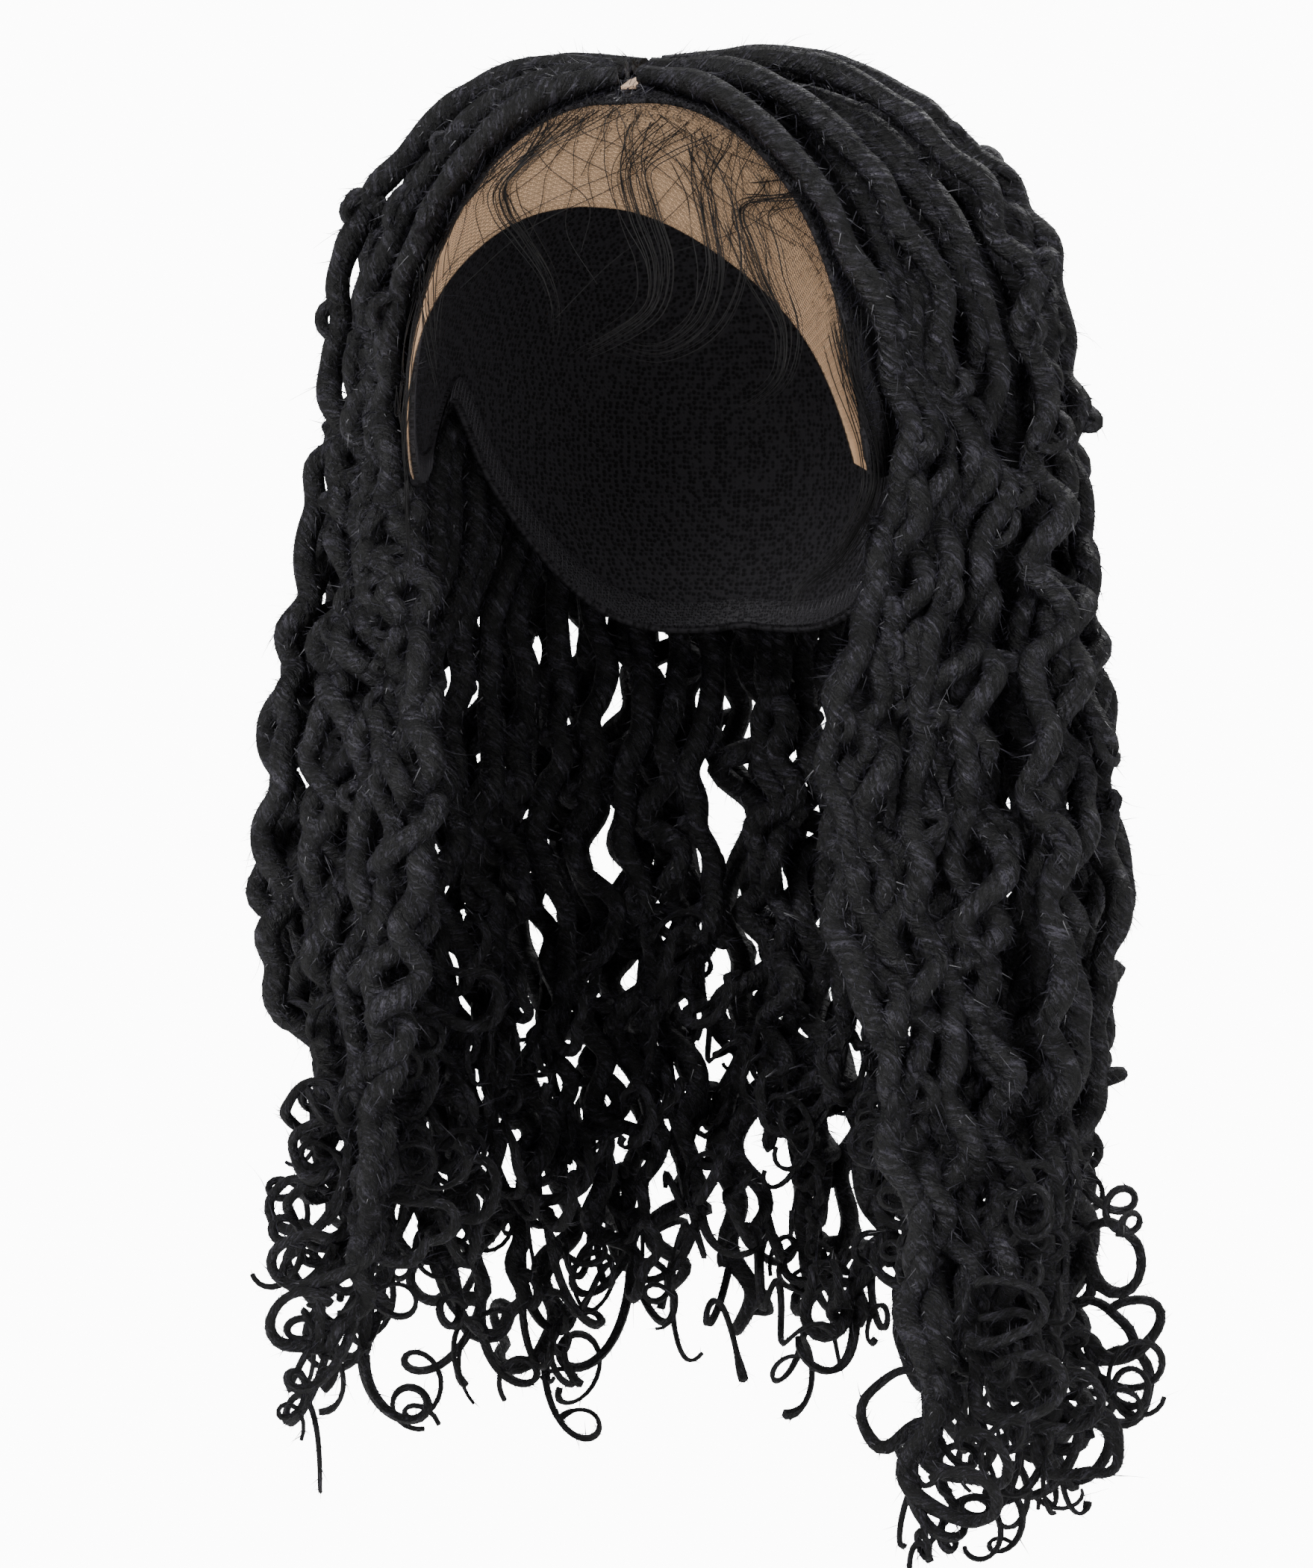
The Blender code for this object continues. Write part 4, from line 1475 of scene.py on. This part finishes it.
CAP_EDGE = ((0.0, 27.5), (30.0, 28.5), (50.0, 38.0), (60.0, 52.0), (66.0, 76.0), (73.0, 99.0),
            (84.0, 98.0), (97.0, 84.0), (113.0, 99.0), (142.0, 122.0), (180.0, 124.0))
LACE_EDGE = ((0.0, 55.8), (16.5, 57.6), (38.0, 66.5), (50.0, 74.5), (57.5, 82.0), (68.5, 98.0))
HAIRLINE_ROWS = 6


def edge_curve(places: Sequence[tuple[float, float]], count: int) -> np.ndarray:
    """Follow an edge through a list of places.

    Args:
        places: Azimuth and polar angle in degrees.
        count: Number of directions.

    Returns:
        Directions, evenly spaced.
    """
    units = spline([HEAD.place(*place) for place in places], 0.02)
    along = lengths_along(units)
    return unit(points_at(units, along, np.linspace(0.0, along[-1], count)))


def both_sides(half: np.ndarray) -> np.ndarray:
    """A curve from the middle out, carried on over the wearer's right."""
    return np.vstack([(half * MIRROR)[:0:-1], half])


def hair_band(name: str, grid: np.ndarray, turn: int, sign: float, tree: NodeTree,
              values: dict) -> Object:
    """Grow short hairs on a grid of points.

    Args:
        name: Name of the piece.
        grid: Points as rows by columns.
        turn: 1 or -1, the order of the corners of its faces.
        sign: 1 for hairs that lie from the first row to the last, and -1 for the other way.
        tree: Tree that grows the hairs.
        values: Values of the tree's inputs, by name.

    Returns:
        The piece.
    """
    rows, columns = grid.shape[:2]
    faces = [(first, first + 1, first + 1 + columns, first + columns)[::turn]
             for first in (r * columns + c for r in range(rows - 1) for c in range(columns - 1))]
    piece = mesh_object(name, grid.reshape(-1, 3), [], faces)
    keep_vectors(piece, "heading", unit(np.gradient(grid, axis=0).reshape(-1, 3)) * sign)
    return grow(piece, tree, values)


@dataclass
class Cap:
    """The stretch cap: a net dome with an elastic hem."""

    finishes: Finishes
    net: NodeTree
    wall: float = 0.0013
    rings: int = 26
    hem_span: tuple[float, float] = (0.945, 0.995)
    hem_seat: float = 0.0002
    hem_depth: float = 0.0012
    hem_swell: float = 0.0004
    hem_finer: int = 2
    stitches_finer: int = 5
    stitch_radius: float = 0.00022
    rim_points: int = 60
    crown: tuple[float, float] = (180.0, 24.0)

    def rim(self, finer: int) -> np.ndarray:
        """Directions round the whole rim, from the front, some times finer than the dome's."""
        half = edge_curve(CAP_EDGE, self.rim_points * finer)
        return np.vstack([half, (half * MIRROR)[-2:0:-1]])

    def hem(self) -> Object:
        """Build the elastic that is turned over the rim, inside the dome.

        Returns:
            The piece.
        """
        rim = self.rim(self.hem_finer)
        crown = HEAD.place(*self.crown)
        points, places, faces = [], [], []
        for edge in rim:
            inner, outer = (slerp(crown, edge, share) for share in self.hem_span)
            points += [HEAD.point(inner, self.hem_seat), HEAD.point(outer, self.hem_seat),
                       HEAD.point(outer, -self.hem_depth), HEAD.point(inner, -self.hem_depth)]
            places += [tuple(HEAD.point(end, 0.0)) for end in (inner, outer, outer, inner)]
        for index in range(len(rim)):
            here, there = 4 * index, 4 * ((index + 1) % len(rim))
            faces += [(here + k, here + (k + 1) % 4, there + (k + 1) % 4, there + k) for k in range(4)]
        piece = mesh_object("cap_hem", np.array(points), [], faces)
        keep_vectors(piece, "net", places)
        piece.data.materials.append(self.finishes.band)
        return piece

    def stitches(self) -> Object:
        """Build the zigzag stitches that hold the elastic.

        Returns:
            The piece.
        """
        rim = self.rim(self.stitches_finer)
        crown = HEAD.place(*self.crown)
        points = [HEAD.point(slerp(crown, edge, self.hem_span[index % 2]), -self.hem_depth)
                  for index, edge in enumerate(rim)]
        edges = [(index, (index + 1) % len(rim)) for index in range(len(rim))]
        piece = mesh_object("hem_stitches", np.array(points), edges, [])
        return grow(piece, self.net, {"Thread radius": self.stitch_radius, "Finish": self.finishes.stitch})

    def build(self) -> None:
        """Build the dome, its hem and the hem's stitches."""
        self.dome()
        mount(self.hem(), Slot.CAP)
        mount(self.stitches(), Slot.CAP)

    def dome(self) -> None:
        """Build the dome with both its skins."""
        rim = self.rim(1)
        count = len(rim)
        crown = HEAD.place(*self.crown)
        points, places, faces = [], [], []
        for height in (0.0, self.wall):
            base = len(points)
            points.append(HEAD.point(crown, height))
            places.append((0.0, 0.0, 0.0))
            for ring in range(1, self.rings + 1):
                for index, edge in enumerate(rim):
                    towards = slerp(crown, edge, ring / self.rings)
                    hem = self.hem_swell if height and ring > self.rings - 2 else 0.0
                    points.append(HEAD.point(towards, height + hem))
                    places.append(tuple(HEAD.point(towards, 0.0)))
            for index in range(count):
                after = (index + 1) % count
                fan = (base, base + 1 + index, base + 1 + after)
                faces.append(fan if height else fan[::-1])
                for ring in range(self.rings - 1):
                    low = base + 1 + ring * count
                    quad = (low + index, low + count + index, low + count + after, low + after)
                    faces.append(quad if height else quad[::-1])
        inner = 1 + (self.rings - 1) * count
        outer = inner + 1 + self.rings * count
        for index in range(count):
            after = (index + 1) % count
            faces.append((inner + index, inner + after, outer + after, outer + index))
        piece = mesh_object("net_cap", np.array(points), [], faces)
        keep_vectors(piece, "net", places)
        piece.data.shade_smooth()
        piece.data.materials.append(self.finishes.cap)
        mount(piece, Slot.CAP, "wig_cap")


@dataclass(frozen=True)
class HairBand:
    """A band of short hairs between two shares of the lace's depth, of loose or fine fibre."""

    low: float
    high: float
    density: float
    length: float
    loose: bool = False


@dataclass
class Lace:
    """The lace front: a sheer ground, a net of fine threads, and short hairs knotted into its top."""

    finishes: Finishes
    net: NodeTree
    stubble: NodeTree
    columns: int = 220
    rows: int = 30
    lift: float = 0.0005
    depth_range: Span = (0.02, 1.0)
    ground_steps: tuple[int, int] = (80, 8)
    ground_skins: Span = (0.0002, 0.0007)
    band_steps: tuple[int, int] = (100, 3)
    band_lift: float = 0.0010
    over_lift: float = 0.0021
    first_seed: int = 5
    bands: tuple[HairBand, ...] = (
        HairBand(-0.30, 0.04, 620000.0, 0.011, True),
        HairBand(-0.06, 0.10, 700000.0, 0.007),
        HairBand(0.02, 0.20, 1000000.0, 0.0052),
        HairBand(0.16, 0.36, 420000.0, 0.0050),
        HairBand(0.32, 0.55, 110000.0, 0.0050),
    )

    def grid(self, columns: int, rows: int, low: float, high: float, height: float) -> np.ndarray:
        """Lay a grid over part of the lace.

        Args:
            columns: Steps from side to side.
            rows: Steps from top to bottom.
            low: Share of the depth where it starts.
            high: Share of the depth where it ends.
            height: Height over the head form.

        Returns:
            Points as rows by columns.
        """
        top = both_sides(edge_curve(CAP_EDGE[:HAIRLINE_ROWS], columns // 2 + 1))
        bottom = both_sides(edge_curve(LACE_EDGE, columns // 2 + 1))
        shares = np.linspace(low, high, rows + 1)
        return np.array([[HEAD.point(slerp(a, b, share), height) for a, b in zip(top, bottom)]
                         for share in shares])

    def ground(self) -> Object:
        """Build the sheer ground as a thin sheet.

        Returns:
            The piece.
        """
        skins = [self.grid(*self.ground_steps, *self.depth_range, height) for height in self.ground_skins]
        rows, columns = skins[0].shape[:2]
        points = np.vstack([skin.reshape(-1, 3) for skin in skins])
        faces = []
        for skin in range(2):
            for row in range(rows - 1):
                for column in range(columns - 1):
                    first = skin * rows * columns + row * columns + column
                    quad = (first, first + columns, first + columns + 1, first + 1)
                    faces.append(quad if skin else quad[::-1])
        border = ([(0, c) for c in range(columns)]
                  + [(r, columns - 1) for r in range(1, rows)]
                  + [(rows - 1, c) for c in range(columns - 2, -1, -1)]
                  + [(r, 0) for r in range(rows - 2, 0, -1)])
        flat = [r * columns + c for r, c in border]
        for here, there in zip(flat, flat[1:] + flat[:1]):
            faces.append((here, here + rows * columns, there + rows * columns, there))
        piece = mesh_object("lace_ground", points, [], faces)
        piece.data.shade_smooth()
        piece.data.materials.append(self.finishes.film)
        return piece

    def threads(self) -> Object:
        """Build the net of six-sided holes from fine threads.

        Returns:
            The piece.
        """
        grid = self.grid(self.columns, self.rows * 2, *self.depth_range, self.lift)
        rows, columns = grid.shape[:2]
        points = grid.reshape(-1, 3)
        edges = []
        for row in range(0, rows - 1):
            for column in range(columns - 1):
                here = row * columns + column
                if (row + column) % 2 == 0:
                    edges.append((here, here + columns + 1) if row % 2 else (here, here + 1))
                if row % 2 and (column + row) % 2:
                    edges.append((here, here + columns))
        piece = mesh_object("lace_threads", points, edges, [])
        return grow(piece, self.net, {"Finish": self.finishes.thread})

    def hairs(self) -> Object:
        """Build the short hairs along the hairline, thinning out towards the forehead.

        Returns:
            The piece.
        """
        parts = []
        for band in self.bands:
            lift, sign = (self.over_lift, -1.0) if band.low < 0 else (self.band_lift, 1.0)
            grid = self.grid(*self.band_steps, band.low, band.high, lift)
            finish = self.finishes.fuzz if band.loose else self.finishes.baby_hair
            parts.append(hair_band("hairline_band", grid, 1, sign, self.stubble, {
                "Density": band.density, "Length": band.length, "Seed": self.first_seed + len(parts),
                "Finish": finish}))
        return join_pieces("hairline_hairs", parts)

    def build(self) -> None:
        """Build the ground, the net and the hairline."""
        ground = mount(self.ground(), Slot.LACE, "lace_front")
        threads = mount(self.threads(), Slot.LACE)
        hairs = mount(self.hairs(), Slot.HAIR)


@dataclass
class Parting:
    """Short roots that lie away from the parting on both sides, over the edges of its strip."""

    finishes: Finishes
    stubble: NodeTree
    span: tuple[float, float] = (-0.036, 0.052)
    half_width: float = 0.0052
    clear: float = 0.0008
    height: float = 0.0026
    rows: int = 4
    columns: int = 40
    density: float = 1500000.0
    length: float = 0.0065
    first_seed: int = 31

    def build(self) -> None:
        """Build the roots of both sides as one piece."""
        parts = []
        back = np.linspace(*self.span, self.columns)
        for side in Side:
            across = np.linspace(self.clear, self.half_width, self.rows) * side.value
            grid = np.array([[HEAD.point(unit(HEAD.on_plan(x, y)), self.height) for y in back]
                             for x in across])
            parts.append(hair_band("parting_band", grid, side.value, 1.0, self.stubble, {
                "Density": self.density, "Length": self.length, "Seed": self.first_seed + len(parts),
                "Finish": self.finishes.fuzz}))
        mount(join_pieces("parting_roots", parts), Slot.HAIR)


def join_pieces(name: str, parts: Sequence[Object]) -> Object:
    """Join pieces into the first one.

    Args:
        name: Name of the result.
        parts: Pieces to join.

    Returns:
        The joined piece.
    """
    with bpy.context.temp_override(active_object=parts[0], selected_editable_objects=list(parts)):
        bpy.ops.object.join()
    parts[0].name = name
    return parts[0]


@dataclass(frozen=True)
class Swoop:
    """A lock of baby hair laid on the forehead, through places on the head.

    places are azimuth and polar angle in degrees. A polar angle past 90 is a place below the ear
    line, where it stands for a drop of that many more degrees along the crown's height.
    """

    places: tuple[tuple[float, float], ...]
    strands: int
    root_spread: float
    spread: float


@dataclass
class BabyHair:
    """Fine loose hairs: swoops on the forehead, tufts at the temples, and single strays."""

    finishes: Finishes
    tree: NodeTree
    radius: float = 0.00018
    lift: float = 0.0014
    face_limit: float = -0.0955
    cheek_taper: float = 0.0012
    guide_step: float = 0.0022
    tilt: float = 1.1
    scatter: float = 0.75
    wander: float = 0.35
    wander_pace: Span = (3.0, 8.0)
    fan_end: float = 0.30
    fullness: Span = (1.2, 0.8)
    narrowing: Span = (0.3, 1.0)
    deep_lift: float = 0.0012
    lift_span: Span = (0.0, 0.2)
    first_points: tuple[int, int] = (0, 3)
    length_shares: Span = (0.72, 1.0)
    slimming: float = 0.7
    slim_span: Span = (0.7, 1.0)
    thickness: Span = (0.7, 1.15)
    seed: int = 71
    swoops: tuple[Swoop, ...] = (
        Swoop(((-14.0, 29.0), (-16.0, 35.0), (-22.7, 42.7), (-29.1, 50.5), (-23.0, 56.5), (-14.4, 61.9),
               (-4.5, 70.1), (-1.9, 76.1), (-2.5, 81.4)), 16, 0.017, 0.0038),
        Swoop(((23.8, 34.0), (15.1, 42.2), (11.7, 48.7), (15.7, 59.0), (19.8, 67.6), (18.8, 74.7),
               (9.9, 79.9), (3.1, 82.3), (-3.4, 86.3)), 20, 0.016, 0.0050),
        Swoop(((36.0, 38.0), (35.4, 48.7), (36.4, 59.5), (36.5, 69.0), (31.2, 78.0), (21.1, 82.4),
               (9.9, 80.7)), 18, 0.015, 0.0046),
        Swoop(((62.0, 47.0), (51.2, 52.2), (42.4, 57.1), (43.9, 63.2), (45.3, 68.7), (49.2, 77.4),
               (47.3, 85.0), (41.2, 89.4), (35.5, 91.0)), 18, 0.015, 0.0042),
        Swoop(((-62.0, 56.0), (-55.0, 62.0), (-49.9, 67.7), (-41.3, 76.2), (-33.2, 87.7)), 9, 0.010, 0.0040),
        Swoop(((-66.0, 62.0), (-60.0, 72.0), (-55.0, 82.0), (-50.0, 92.0)), 9, 0.010, 0.0045),
        Swoop(((66.0, 70.0), (66.0, 83.7), (73.3, 95.0), (74.4, 102.0), (64.0, 113.0), (53.3, 119.0),
               (51.6, 123.0), (55.3, 130.0)), 26, 0.006, 0.0034),
        Swoop(((-64.0, 82.0), (-62.0, 90.0), (-70.0, 99.0), (-64.0, 108.0), (-56.0, 118.0)), 18, 0.008,
              0.0048),
    )
    strays: int = 46
    stray_azimuths: Span = (-58.0, 62.0)
    stray_top: float = 30.0
    stray_drop: float = 26.0
    stray_width: float = 60.0
    stray_drift: float = 9.0
    stray_fall: Span = (6.0, 10.0)
    stray_places: tuple[int, int] = (3, 6)
    stray_step: float = 0.003
    stray_radius: float = 0.7

    def point(self, azimuth: float, polar: float) -> np.ndarray:
        """Find a place on the head, or on the cheek below the ear line.

        Args:
            azimuth: Azimuth in degrees.
            polar: Polar angle in degrees.

        Returns:
            The point.
        """
        towards = HEAD.place(azimuth, min(polar, 90.0))
        point = HEAD.point(towards, self.lift)
        below = max(polar - 90.0, 0.0)
        point = point * (1.0 - self.cheek_taper * below * LEVEL)
        point[2] -= math.radians(below) * HEAD.crown
        point[1] = max(point[1], self.face_limit)
        return point

    def add_swoop(self, strands: StrandSet, swoop: Swoop, draw: Draw) -> None:
        """Add the strands of one lock.

        Args:
            strands: Set that takes them.
            swoop: The lock.
            draw: Source of the draws.
        """
        guide = spline([self.point(*place) for place in swoop.places], self.guide_step)
        share = lengths_along(guide) / lengths_along(guide)[-1]
        heading = unit(np.gradient(guide, axis=0))
        outward = unit(guide + np.array([0.0, 0.0, HEAD.crown * self.tilt]))
        side = unit(np.cross(heading, outward))
        width = swoop.spread * (self.fullness[0] - self.fullness[1] * smoothstep(*self.narrowing, share))
        for _ in range(swoop.strands):
            place, deep = draw.normal(0, self.scatter), draw.uniform(0.0, 1.0)
            fan = swoop.root_spread * draw.uniform(-1.0, 1.0) * (1.0 - smoothstep(0.0, self.fan_end, share))
            swing = draw.normal(0, self.wander)
            swing = swing * np.sin(share * draw.uniform(*self.wander_pace) + draw.uniform(*PHASES))
            lift = self.deep_lift * deep * smoothstep(*self.lift_span, share)
            line = guide + side * (fan + (place + swing) * width)[:, None] + outward * lift[:, None]
            start = int(draw.integers(*self.first_points))
            line = line[start:int(len(line) * draw.uniform(*self.length_shares))]
            slim = 1.0 - self.slimming * smoothstep(*self.slim_span, np.linspace(0.0, 1.0, len(line)))
            strands.add(line, self.radius * draw.uniform(*self.thickness) * slim, True)

    def add_stray(self, strands: StrandSet, draw: Draw) -> None:
        """Add one long single hair that wanders over the forehead.

        Args:
            strands: Set that takes it.
            draw: Source of the draws.
        """
        azimuth = draw.uniform(*self.stray_azimuths)
        polar = self.stray_top + self.stray_drop * (abs(azimuth) / self.stray_width) ** 2
        places = []
        drift, fall = draw.normal(0.0, self.stray_drift), draw.uniform(*self.stray_fall)
        for _ in range(int(draw.integers(*self.stray_places))):
            places.append(self.point(azimuth, polar))
            azimuth += drift
            polar += fall
            drift += draw.normal(0.0, self.stray_drift)
        strands.add(spline(places, self.stray_step), self.radius * self.stray_radius, True)

    def build(self) -> None:
        """Build the baby hair as one piece."""
        draw = np.random.default_rng(self.seed)
        strands = StrandSet()
        for swoop in self.swoops:
            self.add_swoop(strands, swoop, draw)
        for _ in range(self.strays):
            self.add_stray(strands, draw)
        piece = grow(strands.object("baby_hair"), self.tree, {
            "Thin sides": 3, "Fuzz density": 0.0, "Wrap finish": self.finishes.baby_hair,
            "Fuzz finish": self.finishes.baby_hair})
        mount(piece, Slot.HAIR)


@dataclass(frozen=True)
class Lamp:
    """A soft square light: its place, its width in metres and its power in watts."""

    name: str
    place: tuple[float, float, float]
    size: float
    power: float


@dataclass
class Studio:
    """Pale floor, soft lights and the camera at the photograph's angle."""

    azimuth: float = math.radians(18.0)
    distance: float = 1.6
    camera_height: float = -0.215
    sideways: float = -0.0029
    view_height: float = 2 * math.atan(PHOTO_HEIGHT / 2 / CAMERA_PIXELS)
    floor_drop: float = 0.012
    floor_radius: float = 30.0
    floor_sides: int = 64
    backdrop: float = 12.0
    ambient: float = 0.22
    aim: tuple[float, float, float] = (0.0, 0.0, -0.2)
    lamps: tuple[Lamp, ...] = (
        Lamp("key", (-0.6, -1.9, 1.3), 1.0, 62.0),
        Lamp("fill", (1.9, -1.5, 0.6), 1.2, 26.0),
        Lamp("rim", (0.4, 1.6, 1.6), 1.2, 26.0),
    )

    def floor(self) -> None:
        """The floor under the longest curls, as bright as the background to the camera."""
        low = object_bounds()[0].z - self.floor_drop
        turns = np.linspace(0, TURN, self.floor_sides + 1)[:-1]
        ring = [(self.floor_radius * math.cos(turn), self.floor_radius * math.sin(turn), low)
                for turn in turns]
        floor = mesh_object("floor", np.array(ring), [], [tuple(range(len(ring)))])
        material, graph, shader = Finish("pale_floor", (0.86, 0.86, 0.86), 1.0, 0.0, 0.0).start()
        seen = graph.out("ShaderNodeLightPath", {}, {}, "Is Camera Ray")
        pale = graph.add("ShaderNodeEmission", {}, {"Strength": self.backdrop})
        mixed = graph.out("ShaderNodeMixShader", {}, {0: seen, 1: shader.outputs[0], 2: pale.outputs[0]})
        graph.link(mixed, graph.tree.nodes["Material Output"], "Surface")
        floor.data.materials.append(material)
        floor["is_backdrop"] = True

    def light(self, lamp: Lamp) -> None:
        """Add an area light that looks at the middle of the wig.

        Args:
            lamp: Its place, size and power.
        """
        data = bpy.data.lights.new(lamp.name, "AREA")
        data.size = lamp.size
        data.energy = lamp.power
        holder = bpy.data.objects.new(lamp.name, data)
        bpy.context.scene.collection.objects.link(holder)
        holder.location = lamp.place
        sight = Vector(self.aim) - Vector(lamp.place)
        holder.rotation_euler = sight.to_track_quat("-Z", "Y").to_euler()

    def camera(self) -> None:
        """The camera, level with the middle of the hair."""
        right = Vector((math.cos(self.azimuth), math.sin(self.azimuth), 0.0))
        back = Vector((math.sin(self.azimuth), -math.cos(self.azimuth), 0.0))
        data = bpy.data.cameras.new("camera")
        data.sensor_fit = "AUTO"
        data.lens = data.sensor_width / 2 / math.tan(self.view_height / 2)
        holder = bpy.data.objects.new("camera", data)
        bpy.context.scene.collection.objects.link(holder)
        holder.location = back * self.distance + right * self.sideways + Vector((0, 0, self.camera_height))
        holder.rotation_euler = (-back).to_track_quat("-Z", "Y").to_euler()
        bpy.context.scene.camera = holder

    def build(self) -> None:
        """Build the studio."""
        self.floor()
        for lamp in self.lamps:
            self.light(lamp)
        world = bpy.data.worlds.new("studio")
        world.use_nodes = True
        graph = Graph(world.node_tree)
        background = world.node_tree.nodes["Background"]
        seen = graph.out("ShaderNodeLightPath", {}, {}, "Is Camera Ray")
        strength = graph.math("MULTIPLY_ADD", seen, self.backdrop - self.ambient, self.ambient)
        graph.link(strength, background, "Strength")
        background.inputs["Color"].default_value = (1.0, 1.0, 1.0, 1.0)
        bpy.context.scene.world = world
        self.camera()


def main() -> None:
    """Build the wig, then the studio."""
    logging.basicConfig(level=logging.INFO, format="%(name)s %(message)s")
    finishes = Finishes()
    tree = hair_tree()
    net = net_tree()
    Cap(finishes, net).build()
    parting_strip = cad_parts["parting_strip"]
    parting_strip.data.materials.clear()
    parting_strip.data.materials.append(finishes.part)
    stubble = stubble_tree()
    Lace(finishes, net, stubble).build()
    Parting(finishes, stubble).build()
    BabyHair(finishes, tree).build()
    LocSet(finishes, tree).build()
    Studio().build()


if __name__ == "__main__":
    main()
